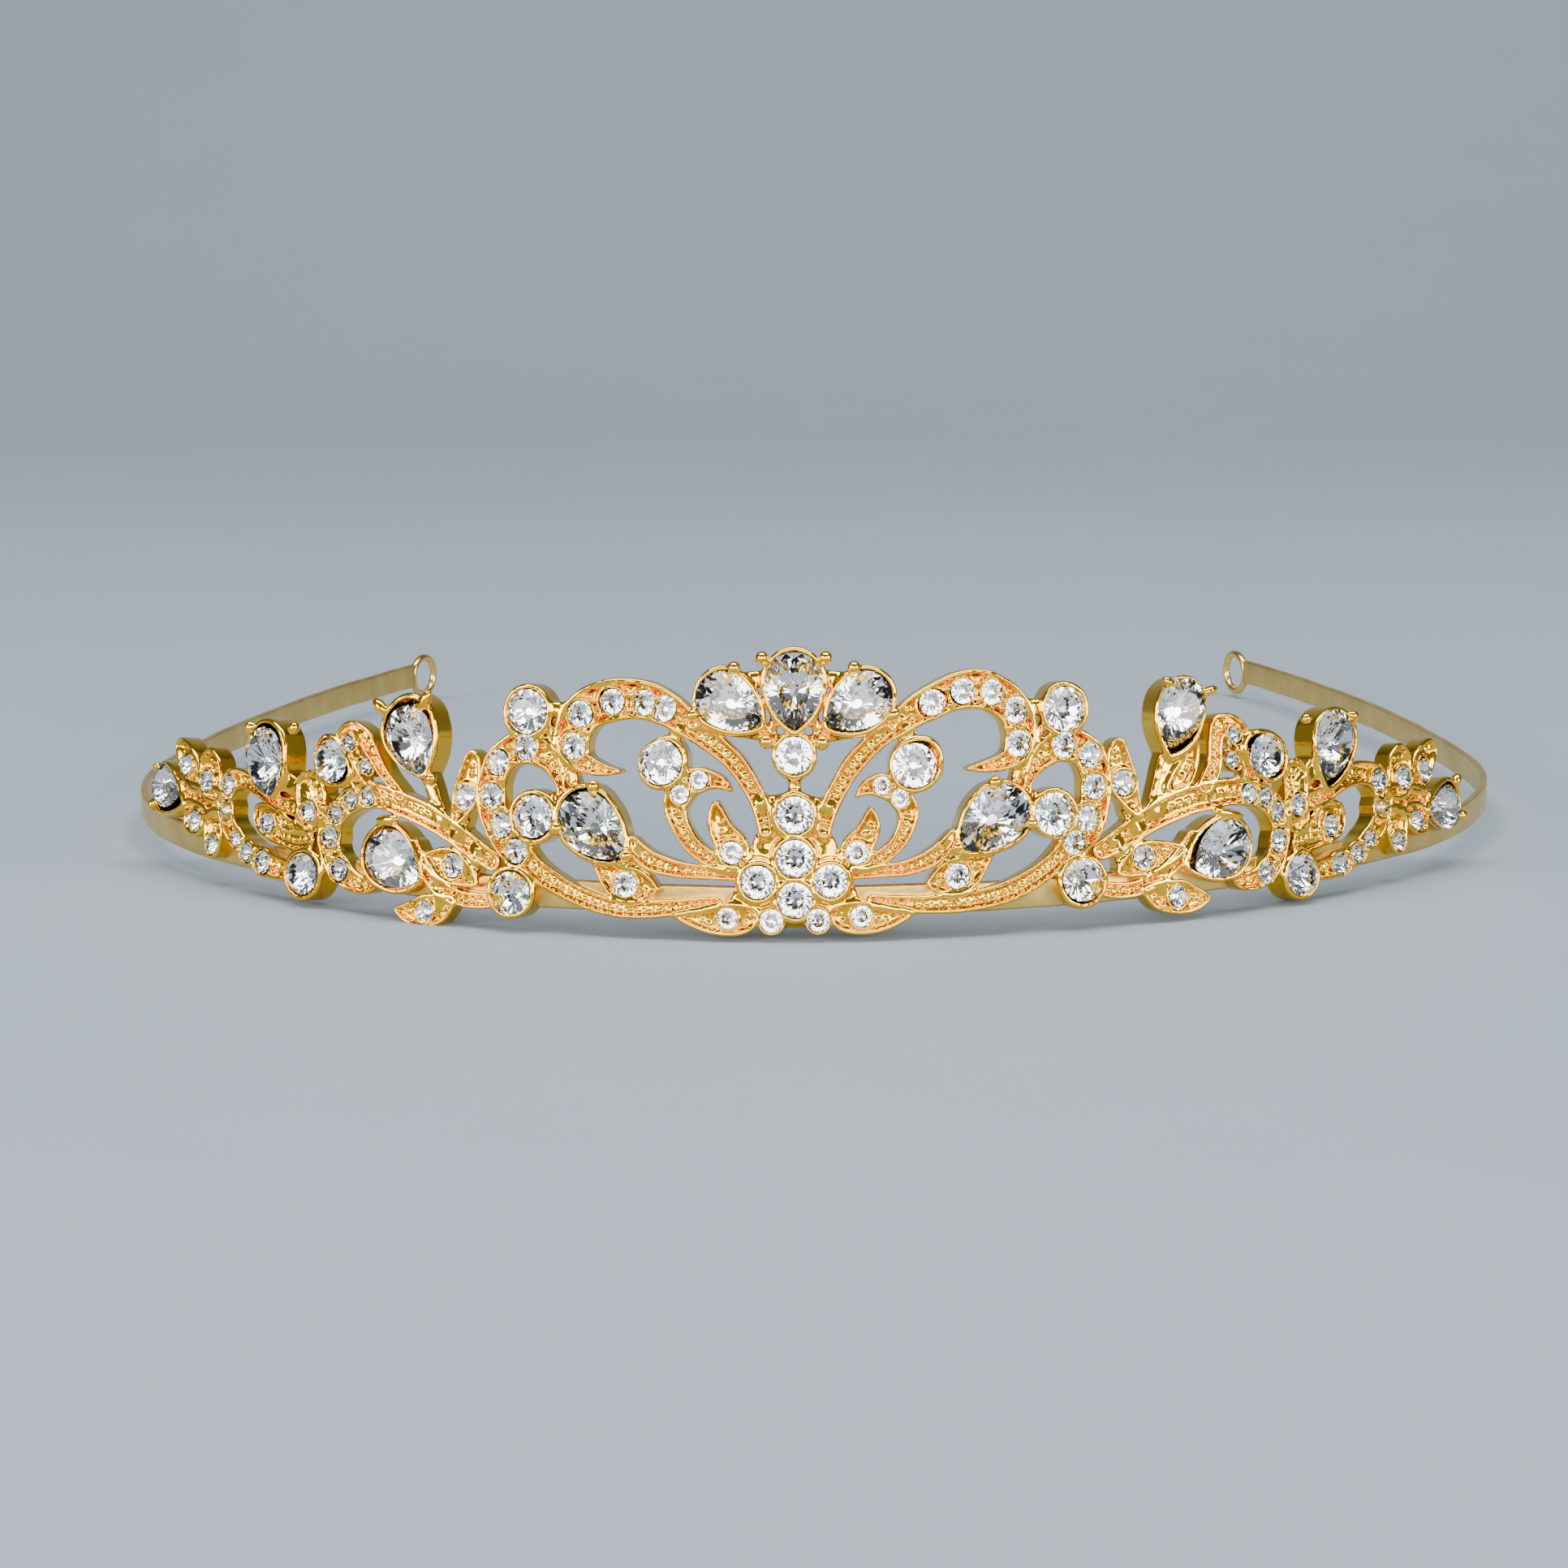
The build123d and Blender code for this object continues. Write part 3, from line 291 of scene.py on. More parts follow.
class Field:
    """Height field of one casting over the layout: silhouette distance, front height and back depth."""

    def __init__(self, u0, u1, w0, w1):
        self.u = np.arange(u0, u1, CELL)
        self.w = np.arange(w0, w1, CELL)
        shape = (len(self.u), len(self.w))
        self.shape = shape
        self.sd = np.full(shape, 9.0)
        self.top = np.full(shape, -9.0)
        self.deep = np.full(shape, BAR_DEPTH)
        self.beads = []
        self.balls = []

    def window(self, pts, pad):
        """The grid cells within `pad` of the points, and their coordinates."""
        lo = np.array(pts)[:, :2].min(0) - pad
        hi = np.array(pts)[:, :2].max(0) + pad
        i0, i1 = np.searchsorted(self.u, (lo[0], hi[0]))
        j0, j1 = np.searchsorted(self.w, (lo[1], hi[1]))
        grid = np.meshgrid(self.u[i0:i1], self.w[j0:j1], indexing="ij")
        return (slice(i0, i1), slice(j0, j1)), grid[0], grid[1]

    def merge(self, part, sd, height=None, deep=None):
        """Smooth union of an element's silhouette and the higher of the two heights."""
        old = self.sd[part]
        h = np.clip(0.5 + 0.5 * (old - sd) / FILLET, 0, 1)
        self.sd[part] = old * (1 - h) + sd * h - FILLET * h * (1 - h)
        if height is not None:
            self.top[part] = np.maximum(self.top[part], np.where(sd < 0.22, height, -9.0))
        if deep is not None:
            self.deep[part] = np.maximum(self.deep[part], np.where(sd < 0.1, deep, 0))

    def ribbon(self, points, rim=RIM_TOP, stones=(), plain=False):
        """A bar with a raised rounded rim on both sides and milgrain in its sunk floor."""
        line = smooth_line(points)
        part, gu, gw = self.window(line, line[:, 2].max() / 2 + 1.2)
        best = np.full(gu.shape, 9.0)
        half = np.full(gu.shape, 0.5)
        for u, w, width in line:
            d = np.hypot(gu - u, gw - w) - width / 2
            closer = d < best
            best = np.where(closer, d, best)
            half = np.where(closer, width / 2, half)
        inside = -best
        rimw = 0.26 + 0.14 * np.clip(half - 0.6, 0, 1.6)
        if plain:
            height = rim - 0.25 + 0.25 * np.clip(inside / 0.5, 0, 1)
        else:
            height = rim_height(inside, rimw, rim, FLOOR_DEPTH)
        self.merge(part, best, height)
        if not plain:
            self.row_of_beads(line, stones)

    def row_of_beads(self, line, stones):
        """Small rings and beads along the sunk floor, left out where a stone sits."""
        run = np.r_[0, np.cumsum(np.hypot(*np.diff(line[:, :2], axis=0).T))]
        for k, s in enumerate(np.arange(BEAD_SPACING * 0.7, run[-1], BEAD_SPACING)):
            i = min(int(np.searchsorted(run, s)), len(line) - 2)
            u, w, width = line[i]
            if width < 1.35:
                continue
            if any(np.hypot(u - a, w - b) < r + 0.45 for a, b, r in stones):
                continue
            ahead = line[i + 1, :2] - line[i, :2]
            side = np.array([-ahead[1], ahead[0]]) / (np.hypot(*ahead) + 1e-9)
            if width > 2.9:
                for lateral in (-0.5, 0.5):
                    at = line[i, :2] + side * lateral
                    self.beads.append((at[0], at[1], 0.33, FLOOR_DEPTH, 0))
            else:
                self.beads.append((u, w, 0.3, FLOOR_DEPTH, k % 3))

    def leaf(self, points, stones):
        """A leaf with a raised rim and a sunk face covered with beads."""
        line = smooth_line(points, closed=True)
        part, gu, gw = self.window(line, 1.2)
        dist, inside = polygon_distance(line[:, :2], gu, gw)
        sd = np.where(inside, -dist, dist)
        self.merge(part, sd, rim_height(-sd, RIM_WIDTH, RIM_TOP, LEAF_FLOOR), LEAF_DEPTH)
        rng = np.random.default_rng(int(abs(points[0][0]) * 100) + 7)
        lo, hi = line[:, :2].min(0), line[:, :2].max(0)
        for du in np.arange(lo[0], hi[0], LEAF_BEAD_SPACING):
            for dw in np.arange(lo[1], hi[1], LEAF_BEAD_SPACING):
                at = np.array([du, dw]) + rng.uniform(-0.12, 0.12, 2)
                d, isin = polygon_distance(line[:, :2], at[:1], at[1:])
                if not isin[0] or d[0] < RIM_WIDTH + 0.45:
                    continue
                if any(np.hypot(at[0] - a, at[1] - b) < r + 0.45 for a, b, r in stones):
                    continue
                self.beads.append((at[0], at[1], 0.27, LEAF_FLOOR, 0))

    def mass(self, points, height):
        """A plain block of metal with its edge taken down."""
        line = smooth_line(points, closed=True)
        part, gu, gw = self.window(line, 1.2)
        dist, inside = polygon_distance(line[:, :2], gu, gw)
        sd = np.where(inside, -dist, dist)
        self.merge(part, sd, np.full(sd.shape, height) - 0.25 * np.clip(1 - dist / 0.5, 0, 1))

    def disc(self, u, w, radius, wall, lip, deep):
        """A cup or bezel: a ring wall with a rounded lip."""
        part, gu, gw = self.window([(u, w)], radius + wall + 1.5)
        rho = np.hypot(gu - u, gw - w)
        sd = rho - radius - wall
        height = lip - 0.16 * np.abs((rho - radius - wall * 0.5) / (wall * 0.5)) ** 2
        height = np.where(rho < radius + wall + 0.2, height, -9)
        self.merge(part, sd, np.where(rho < radius + wall * 0.5, lip, height), deep)

    def pear(self, u, w, tip, radius, reach):
        """A deep pear cup with a rounded lip."""
        line = pear_outline(u, w, tip, radius, reach)
        part, gu, gw = self.window(line, 2.2)
        dist, inside = polygon_distance(line, gu, gw)
        rho = np.where(inside, -dist, dist)
        sd = rho - CUP_WALL
        slope = 0.2 * ((rho - CUP_WALL / 2) / 0.3) ** 2
        height = np.where(rho < CUP_WALL / 2, LIP + 0.05, LIP + 0.05 - slope)
        self.merge(part, sd, height, CUP_DEPTH)

    def pocket_round(self, u, w, radius, floor, lip):
        """Cuts the seat of a round stone."""
        part, gu, gw = self.window([(u, w)], radius + 0.3)
        rho = np.hypot(gu - u, gw - w)
        rise = np.clip((rho - radius + POCKET_SLOPE) / POCKET_SLOPE, 0, 1)
        cut = floor + (lip - floor) * rise
        self.top[part] = np.where(rho < radius, np.minimum(self.top[part], cut), self.top[part])

    def pocket_pear(self, u, w, tip, radius, reach, floor, lip):
        """Cuts the seat of a pear stone."""
        line = pear_outline(u, w, tip, radius, reach)
        part, gu, gw = self.window(line, 0.4)
        dist, inside = polygon_distance(line, gu, gw)
        rise = np.clip((POCKET_SLOPE - dist) / POCKET_SLOPE, 0, 1)
        cut = floor + (lip - floor) * rise
        self.top[part] = np.where(inside, np.minimum(self.top[part], cut), self.top[part])

    def ball(self, u, w, z, ru, rw, rz, turn=0.0):
        """A prong or bead that is a solid of its own, turned in the layout by `turn` degrees."""
        self.balls.append((u, w, z, ru, rw, rz, radians(turn)))

    def surface(self, seed):
        """Points of the casting in layout coordinates (u, w, out), and its quads."""
        fine = value_noise(self.shape, 0.55 / CELL, seed)
        coarse = value_noise(self.shape, 2.1 / CELL, seed + 1)
        pebble = fine * 0.035 + coarse * 0.03
        top = np.where(self.top < -8, FLOOR_DEPTH - 0.1, self.top) + pebble
        for u, w, radius, floor, kind in self.beads:
            part, gu, gw = self.window([(u, w)], radius + 0.2)
            rho = np.hypot(gu - u, gw - w)
            if kind == 0:
                lump = floor - 0.02 + 0.95 * np.sqrt(np.clip(radius ** 2 - rho ** 2, 0, None))
            else:
                lump = (floor + 0.2 * np.exp(-((rho - radius * 0.8) / 0.13) ** 2)
                        - 0.12 * np.exp(-(rho / 0.12) ** 2))
            top[part] = np.where(rho < radius + 0.15, np.maximum(top[part], lump), top[part])
        sd = self.sd + value_noise(self.shape, 1.7 / CELL, seed + 2) * 0.045
        z = np.arange(-CUP_DEPTH - 0.5, 1.3, CELL)
        a = sd[:, :, None]
        b = z[None, None, :] - top[:, :, None]
        field = smooth_max(a, b, EDGE_ROUND)
        field = smooth_max(field, -self.deep[:, :, None] - z[None, None, :], 0.2)
        for u, w, zc, ru, rw, rz, turn in self.balls:
            i0, i1 = np.searchsorted(self.u, (u - 2.2, u + 2.2))
            j0, j1 = np.searchsorted(self.w, (w - 2.2, w + 2.2))
            du = self.u[i0:i1, None, None] - u
            dw = self.w[None, j0:j1, None] - w
            dz = z[None, None, :] - zc
            p = du * cos(turn) + dw * sin(turn)
            q = dw * cos(turn) - du * sin(turn)
            k = np.sqrt((p / ru) ** 2 + (q / rw) ** 2 + (dz / rz) ** 2)
            d = (k - 1) * min(ru, rw, rz)
            old = field[i0:i1, j0:j1]
            h = np.clip(0.5 + 0.5 * (old - d) / 0.25, 0, 1)
            field[i0:i1, j0:j1] = old * (1 - h) + d * h - 0.25 * h * (1 - h)
        field = np.clip(field, -0.5, 0.5).astype(np.float32)
        grid = openvdb.FloatGrid(0.5)
        grid.copyFromArray(np.ascontiguousarray(field))
        points, quads = grid.convertToQuads(0.0)
        points = relax(points.astype(float), quads, 2)
        u = self.u[0] + points[:, 0] * CELL
        w = self.w[0] + points[:, 1] * CELL
        return np.stack([u, w, z[0] + points[:, 2] * CELL], -1), quads


def rim_height(inside, width, rim, floor):
    """Front height at a distance inside the outline: a crowned rim that falls to a sunk floor."""
    fall = np.clip((inside - width) / RIM_FALL, 0, 1)
    fall = fall * fall * (3 - 2 * fall)
    crown = RIM_CROWN * np.sin(pi * np.clip(inside / (width + 0.1), 0, 1))
    return rim + crown + (floor - rim) * fall


def smooth_max(a, b, k):
    """The larger of two fields, rounded over `k` where they cross."""
    h = np.clip(0.5 - 0.5 * (b - a) / k, 0, 1)
    return b * (1 - h) + a * h + k * h * (1 - h)


def polygon_distance(line, gu, gw):
    """Distance to a closed polygon and whether each point is inside it."""
    best = np.full(np.shape(gu), 99.0)
    inside = np.zeros(np.shape(gu), bool)
    ends = np.roll(line, -1, axis=0)
    for (ax, ay), (bx, by) in zip(line, ends):
        ex, ey = bx - ax, by - ay
        size = ex * ex + ey * ey + 1e-12
        t = np.clip(((gu - ax) * ex + (gw - ay) * ey) / size, 0, 1)
        best = np.minimum(best, (gu - ax - t * ex) ** 2 + (gw - ay - t * ey) ** 2)
        if ay != by:
            crosses = ((ay > gw) != (by > gw)) & (gu < ex * (gw - ay) / ey + ax)
            inside ^= crosses
    return np.sqrt(best), inside


def relax(points, quads, rounds):
    """Evens out the mesh a little: each vertex moves halfway to the mean of its neighbours."""
    edges = np.vstack([quads[:, [0, 1]], quads[:, [1, 2]], quads[:, [2, 3]], quads[:, [3, 0]]])
    for _ in range(rounds):
        total = np.zeros_like(points)
        count = np.zeros(len(points))
        for a, b in ((0, 1), (1, 0)):
            for axis in range(3):
                total[:, axis] += np.bincount(edges[:, a], points[edges[:, b], axis], len(points))
            count += np.bincount(edges[:, a], minlength=len(points))
        points = points * 0.5 + 0.5 * total / np.maximum(count, 1)[:, None]
    return points


def left_side(items):
    """The same stones, bars or outlines on the left side."""
    turned = []
    for item in items:
        if isinstance(item, list):
            turned.append(left_side(item))
        elif len(item) == 5:
            turned.append((-item[0], item[1], 180 - item[2], item[3], item[4]))
        else:
            turned.append((-item[0],) + tuple(item[1:]))
    return turned


def both_sides(items):
    """The items and their mirror images."""
    return items + left_side(items)


def mesh_object(name, points, faces, material, smooth=True):
    """A closed mesh piece of the object, riding the one rigid body."""
    mesh = bpy.data.meshes.new(name)
    mesh.from_pydata(points, [], faces)
    mesh.update()
    mesh.polygons.foreach_set("use_smooth", [smooth] * len(mesh.polygons))
    mesh.materials.append(material)
    piece = bpy.data.objects.new(name, mesh)
    bpy.context.scene.collection.objects.link(piece)
    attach(piece, "root")
    return piece


def make_casting(name, node, span, bars, leaves, masses, plain, rounds, pears, balls, seed):
    """Meshes one casting from its height field and lets it stand for its CAD node."""
    field = Field(span[0], span[1], FIELD_LOW, FIELD_HIGH)
    for line in bars:
        field.ribbon(line, stones=rounds)
    for line in plain:
        field.ribbon(line, rim=RIM_TOP - 0.1, plain=True)
    for line in leaves:
        field.leaf(line, rounds)
    for line in masses:
        field.mass(line, HUB_FACE)
    for u, w, radius in rounds:
        if radius > LARGE_STONE:
            field.disc(u, w, radius, CUP_WALL, LIP, CUP_DEPTH)
        else:
            field.disc(u, w, radius, BEZEL_WALL, SMALL_LIP, BAR_DEPTH)
    for pear in pears:
        field.pear(*pear)
    for u, w, radius in rounds:
        if radius > LARGE_STONE:
            field.pocket_round(u, w, radius, ROUND_POCKET, LIP)
        else:
            field.pocket_round(u, w, radius, SMALL_POCKET, SMALL_LIP)
    for pear in pears:
        field.pocket_pear(*pear, PEAR_POCKET, LIP)
    for ball in balls:
        field.ball(*ball)
    for ball in bead_prongs(rounds):
        field.ball(*ball)
    points, quads = field.surface(seed)
    world = to_world(points[:, 0], points[:, 1], points[:, 2])
    piece = mesh_object(name, world.tolist(), quads.tolist(), GILT)
    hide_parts(node)


def bead_prongs(rounds):
    """Pairs of bead prongs in the gaps between neighbouring small stones of a row."""
    found = []
    small = [s for s in rounds if s[2] < LARGE_STONE]
    for i, (u, w, r) in enumerate(small):
        for a, b, q in small[i + 1:]:
            gap = np.hypot(a - u, b - w)
            if gap > r + q + 1.5:
                continue
            along = np.array([a - u, b - w]) / gap
            side = np.array([-along[1], along[0]])
            middle = np.array([u, w]) + along * (r + (gap - r - q) / 2)
            for lateral in (-0.62, 0.62):
                at = middle + side * lateral * min(r, q)
                found.append((at[0], at[1], -0.33, 0.34, 0.34, 0.36))
    return found


def stone_points(outline, centre, radius, tilt, spin):
    """Facet vertices and faces of one foil-backed stone in its own frame; the last faces are the foil."""
    half = len(outline) // 2
    c = np.array(centre)

    def ring(which, share, z):
        flat = c + (outline[which] - c) * share
        return np.column_stack([flat, np.full(len(flat), z)])

    even = np.arange(0, 2 * half, 2)
    odd = even + 1
    every = np.arange(2 * half)
    crown, deep = CROWN * radius, GIRDLE + PAVILION * radius
    table = ring(even, TABLE, crown)
    kite = ring(odd, KITE, crown * KITE_HEIGHT)
    rim = ring(every, EDGE, 0.0)
    foot = ring(every, EDGE, -EDGE_HEIGHT)
    culet = ring(even, CULET, -deep + CULET_LIFT)
    points = np.vstack([table, kite, rim, foot, culet])
    t, k, g, f, q = 0, half, 2 * half, 4 * half, 6 * half
    n = 2 * half
    top, foil = [tuple(range(t, t + half))], [tuple(range(q + half - 1, q - 1, -1))]
    for i in range(half):
        j = (i + 1) % half
        last = (i - 1) % half
        top.append((t + j, t + i, k + i))
        top.append((t + i, k + last, g + 2 * i, k + i))
        top.append((k + i, g + 2 * i, g + 2 * i + 1))
        top.append((k + i, g + 2 * i + 1, g + (2 * i + 2) % n))
        foil.append((q + i, f + 2 * i + 1, f + 2 * i))
        foil.append((q + i, q + j, f + (2 * i + 2) % n, f + 2 * i + 1))
    for i in range(n):
        foil.append((g + i, f + i, f + (i + 1) % n, g + (i + 1) % n))
    turn = Euler((tilt[0], tilt[1], spin)).to_matrix().to_4x4()
    return points, top, foil, turn


def make_stones(node, stones):
    """All the stones of one CAD node as one faceted piece."""
    rng = np.random.default_rng(hash_name(node))
    points, faces, foils = [], [], []
    for stone in stones:
        radius = stone[3] if len(stone) == 5 else stone[2]
        tilt = rng.uniform(-0.03, 0.03, 2)
        if len(stone) == 5:
            outline = even_outline(pear_points(stone[3], stone[4], 60), PEAR_SIDES)
            centre = (stone[4] * 0.22, 0.0)
            spin = radians(stone[2])
        else:
            angle = np.arange(ROUND_SIDES) * 2 * pi / ROUND_SIDES
            outline = np.column_stack([np.cos(angle), np.sin(angle)]) * radius
            centre = (0.0, 0.0)
            spin = rng.uniform(0, pi / 4)
        local, top, foil, turn = stone_points(outline, centre, radius, tilt, spin)
        drop = 0.0 if radius > LARGE_STONE else -SMALL_SETBACK
        place = local_frame(stone[0], stone[1]) @ Matrix.Translation((0, 0, drop * MM)) @ turn
        base = len(points)
        points += [place @ (Vector(p) * MM) for p in local.tolist()]
        faces += [tuple(base + i for i in f) for f in top]
        foils += [0] * len(top)
        faces += [tuple(base + i for i in f) for f in foil]
        foils += [1] * len(foil)
    piece = mesh_object("stones." + node, [tuple(p) for p in points], faces, CRYSTAL, smooth=False)
    piece.data.materials.append(FOIL)
    piece.data.polygons.foreach_set("material_index", foils)
    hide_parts(node)


def hash_name(name):
    """A repeatable seed for the small tilts of a node's stones."""
    return sum((i + 1) * ord(c) for i, c in enumerate(name))


def even_outline(points, count):
    """`count` evenly spaced points along a closed outline, one of them on the pear's tip."""
    start = int(np.argmax(points[:, 0]))
    line = np.roll(points, -start, axis=0)
    line = np.vstack([line, line[:1]])
    run = np.r_[0, np.cumsum(np.hypot(*np.diff(line, axis=0).T))]
    s = np.linspace(0, run[-1], count, endpoint=False)
    out = np.column_stack([np.interp(s, run, line[:, 0]), np.interp(s, run, line[:, 1])])
    area = np.sum(out[:, 0] * np.roll(out[:, 1], -1) - out[:, 1] * np.roll(out[:, 0], -1))
    return out if area > 0 else out[::-1]


def band_section():
    """Rounded cross-section of the headband strip: (inward, up) in millimetres."""
    front, back = BAND_FRONT + BAND_CORNER, BAND_BACK - BAND_CORNER
    low, high = BAND_LOW + BAND_CORNER, BAND_HIGH - BAND_CORNER
    out = []
    for cx, cy, a0 in ((back, high, 0), (front, high, 90), (front, low, 180), (back, low, 270)):
        for a in (0, 30, 60, 90):
            out.append((cx + BAND_CORNER * cos(radians(a0 + a)), cy + BAND_CORNER * sin(radians(a0 + a))))
    return np.array(out)


def make_band():
    """The flat strip, swept along the plan curve with slight hand-worked waves."""
    section = band_section()
    u = np.linspace(-BAND_END, BAND_END, 700)
    x, y, heading = plan(u)
    wave = 0.03 * np.sin(u * 0.21) + 0.02 * np.sin(u * 0.53 + 1)
    rings = []
    for inward, up in section:
        inner = inward + wave * 0.5
        rings.append(np.stack([x - inner * np.sin(heading), y + inner * np.cos(heading),
                               np.full_like(x, up + BASE) + wave], -1))
    grid = np.stack(rings, 1) * MM
    count = len(section)
    points = grid.reshape(-1, 3)
    faces = []
    for i in range(len(u) - 1):
        for j in range(count):
            k = (j + 1) % count
            faces.append((i * count + j, i * count + k, (i + 1) * count + k, (i + 1) * count + j))
    faces.append(tuple(range(count - 1, -1, -1)))
    faces.append(tuple((len(u) - 1) * count + j for j in range(count)))
    piece = mesh_object("headband.metal", points.tolist(), faces, STRIP)
    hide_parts("headband_strip")


def make_loop(side, node):
    """The wire loop soldered to one end of the strip."""
    x, y, heading = [float(v) for v in plan(side * LOOP_AT)]
    mid = (BAND_FRONT + BAND_BACK) / 2
    centre = np.array([x - mid * sin(heading), y + mid * cos(heading), BASE + LOOP_HEIGHT])
    along = np.array([cos(heading), sin(heading), 0.0])
    out = np.array([sin(heading), -cos(heading), 0.0])
    up = np.array([0.0, 0.0, 1.0])
    big, small = 64, 20
    points, faces = [], []
    for i in range(big):
        a = 2 * pi * i / big
        radial = along * cos(a) + up * sin(a)
        wire = LOOP_WIRE + 0.012 * sin(3 * a)
        for j in range(small):
            b = 2 * pi * j / small
            p = centre + radial * (LOOP_RADIUS + wire * cos(b)) + out * wire * sin(b)
            points.append(tuple(p * MM))
            here, ahead, k = i * small, ((i + 1) % big) * small, (j + 1) % small
            faces.append((here + j, ahead + j, ahead + k, here + k))
    piece = mesh_object("loop." + node, points, faces, WIRE)
    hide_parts(node)


# ---------------------------------------------------------------- materials
def node_material(name):
    """A new material with its node tree, its shader and object coordinates."""
    material = bpy.data.materials.new(name)
    material.use_nodes = True
    tree = material.node_tree
    shader = next(n for n in tree.nodes if n.type == "BSDF_PRINCIPLED")
    where = tree.nodes.new("ShaderNodeTexCoord").outputs["Object"]
    return material, tree, shader, where


def noise(tree, where, scale, detail):
    """Noise with the given scale and detail."""
    n = tree.nodes.new("ShaderNodeTexNoise")
    n.inputs["Scale"].default_value = scale
    n.inputs["Detail"].default_value = detail
    n.inputs["Roughness"].default_value = 0.5
    tree.links.new(where, n.inputs["Vector"])
    return n.outputs["Fac"]


def ramp(tree, value, stops):
    """Colours between the given stops."""
    n = tree.nodes.new("ShaderNodeValToRGB")
    tree.links.new(value, n.inputs["Fac"])
    for i, (at, colour) in enumerate(stops):
        e = n.color_ramp.elements[i] if i < 2 else n.color_ramp.elements.new(at)
        e.position = at
        e.color = tuple(colour) + (1,)
    return n.outputs["Color"]


def spread(tree, value, low, high, out_low, out_high):
    """Maps one range of values to another."""
    n = tree.nodes.new("ShaderNodeMapRange")
    n.inputs["From Min"].default_value = low
    n.inputs["From Max"].default_value = high
    n.inputs["To Min"].default_value = out_low
    n.inputs["To Max"].default_value = out_high
    tree.links.new(value, n.inputs["Value"])
    return n.outputs["Result"]


def bump(tree, height, distance, strength, normal=None):
    """Bump normal from a height, on top of another normal if one is given."""
    n = tree.nodes.new("ShaderNodeBump")
    n.inputs["Distance"].default_value = distance
    n.inputs["Strength"].default_value = strength
    tree.links.new(height, n.inputs["Height"])
    if normal is not None:
        tree.links.new(normal, n.inputs["Normal"])
    return n.outputs["Normal"]


def metal(name, pale, deep, painted_recess_shade, smooth, rough, grain):
    """Cast or drawn gilt metal: two tones by noise, painted shade in the recesses (a deeper, more saturated
    tone standing in for light bouncing between the gold faces), uneven polish.
    """
    material, tree, shader, where = node_material(name)
    tone = ramp(tree, noise(tree, where, 260, 4), [(0.35, deep), (0.65, pale)])
    # Painted shade: low Pointiness marks the recesses, and there the base colour is mixed towards the deeper
    # recess colour.
    edge = tree.nodes.new("ShaderNodeNewGeometry").outputs["Pointiness"]
    recess_shade_mask = spread(tree, edge, 0.44, 0.51, 1.0, 0.0)
    mix = tree.nodes.new("ShaderNodeMixRGB")
    tree.links.new(recess_shade_mask, mix.inputs["Fac"])
    tree.links.new(tone, mix.inputs["Color1"])
    mix.inputs["Color2"].default_value = tuple(painted_recess_shade) + (1,)
    tree.links.new(mix.outputs["Color"], shader.inputs["Base Color"])
    shader.inputs["Metallic"].default_value = 1.0
    polish = spread(tree, noise(tree, where, 420, 5), 0.3, 0.7, smooth, rough)
    tree.links.new(polish, shader.inputs["Roughness"])
    coarse = bump(tree, noise(tree, where, 900, 2), 0.00006, grain)
    tree.links.new(bump(tree, noise(tree, where, 3500, 2), 0.00002, grain, coarse), shader.inputs["Normal"])
    return material


def crystal():
    """Clear cut glass with faint wear."""
    material, tree, shader, where = node_material("crystal_glass")
    tint = ramp(tree, noise(tree, where, 300, 2), [(0.3, (0.96, 0.97, 0.98)), (0.7, (1.0, 1.0, 1.0))])
    tree.links.new(tint, shader.inputs["Base Color"])
    tree.links.new(spread(tree, noise(tree, where, 900, 3), 0.3, 0.8, 0.0, 0.04), shader.inputs["Roughness"])
    shader.inputs["Transmission Weight"].default_value = 1.0
    shader.inputs["IOR"].default_value = 1.58
    return material


def foil():
    """Silver foil behind the glass, a little warm where it has aged."""
    material, tree, shader, where = node_material("crystal_foil")
    tint = ramp(tree, noise(tree, where, 500, 3), [(0.35, (0.93, 0.92, 0.90)), (0.65, (1.0, 1.0, 1.0))])
    tree.links.new(tint, shader.inputs["Base Color"])
    polish = spread(tree, noise(tree, where, 1200, 3), 0.3, 0.8, 0.02, 0.12)
    tree.links.new(polish, shader.inputs["Roughness"])
    shader.inputs["Metallic"].default_value = 1.0
    return material


def backdrop():
    """Pale blue-grey paper, very slightly uneven."""
    material, tree, shader, where = node_material("backdrop_paper")
    tint = ramp(tree, noise(tree, where, 3, 3), [(0.3, (0.24, 0.285, 0.33)), (0.7, (0.255, 0.30, 0.345))])
    tree.links.new(tint, shader.inputs["Base Color"])
    tree.links.new(spread(tree, noise(tree, where, 60, 3), 0.3, 0.7, 0.75, 0.9), shader.inputs["Roughness"])
    tree.links.new(bump(tree, noise(tree, where, 1500, 3), 0.00005, 0.2), shader.inputs["Normal"])
    return material


# The third colour of each metal is its painted recess shade, a deeper tone standing in for light bouncing in
# the hollows.
GILT = metal("gilt_cast", (1.0, 0.61, 0.05), (0.96, 0.50, 0.02), (0.78, 0.40, 0.01), 0.06, 0.14, 0.25)
STRIP = metal("gilt_strip", (0.78, 0.55, 0.17), (0.66, 0.44, 0.11), (0.5, 0.3, 0.06), 0.28, 0.42, 0.5)
WIRE = metal("gilt_wire", (0.95, 0.66, 0.2), (0.88, 0.55, 0.14), (0.6, 0.32, 0.05), 0.14, 0.28, 0.4)
CRYSTAL = crystal()
FOIL = foil()

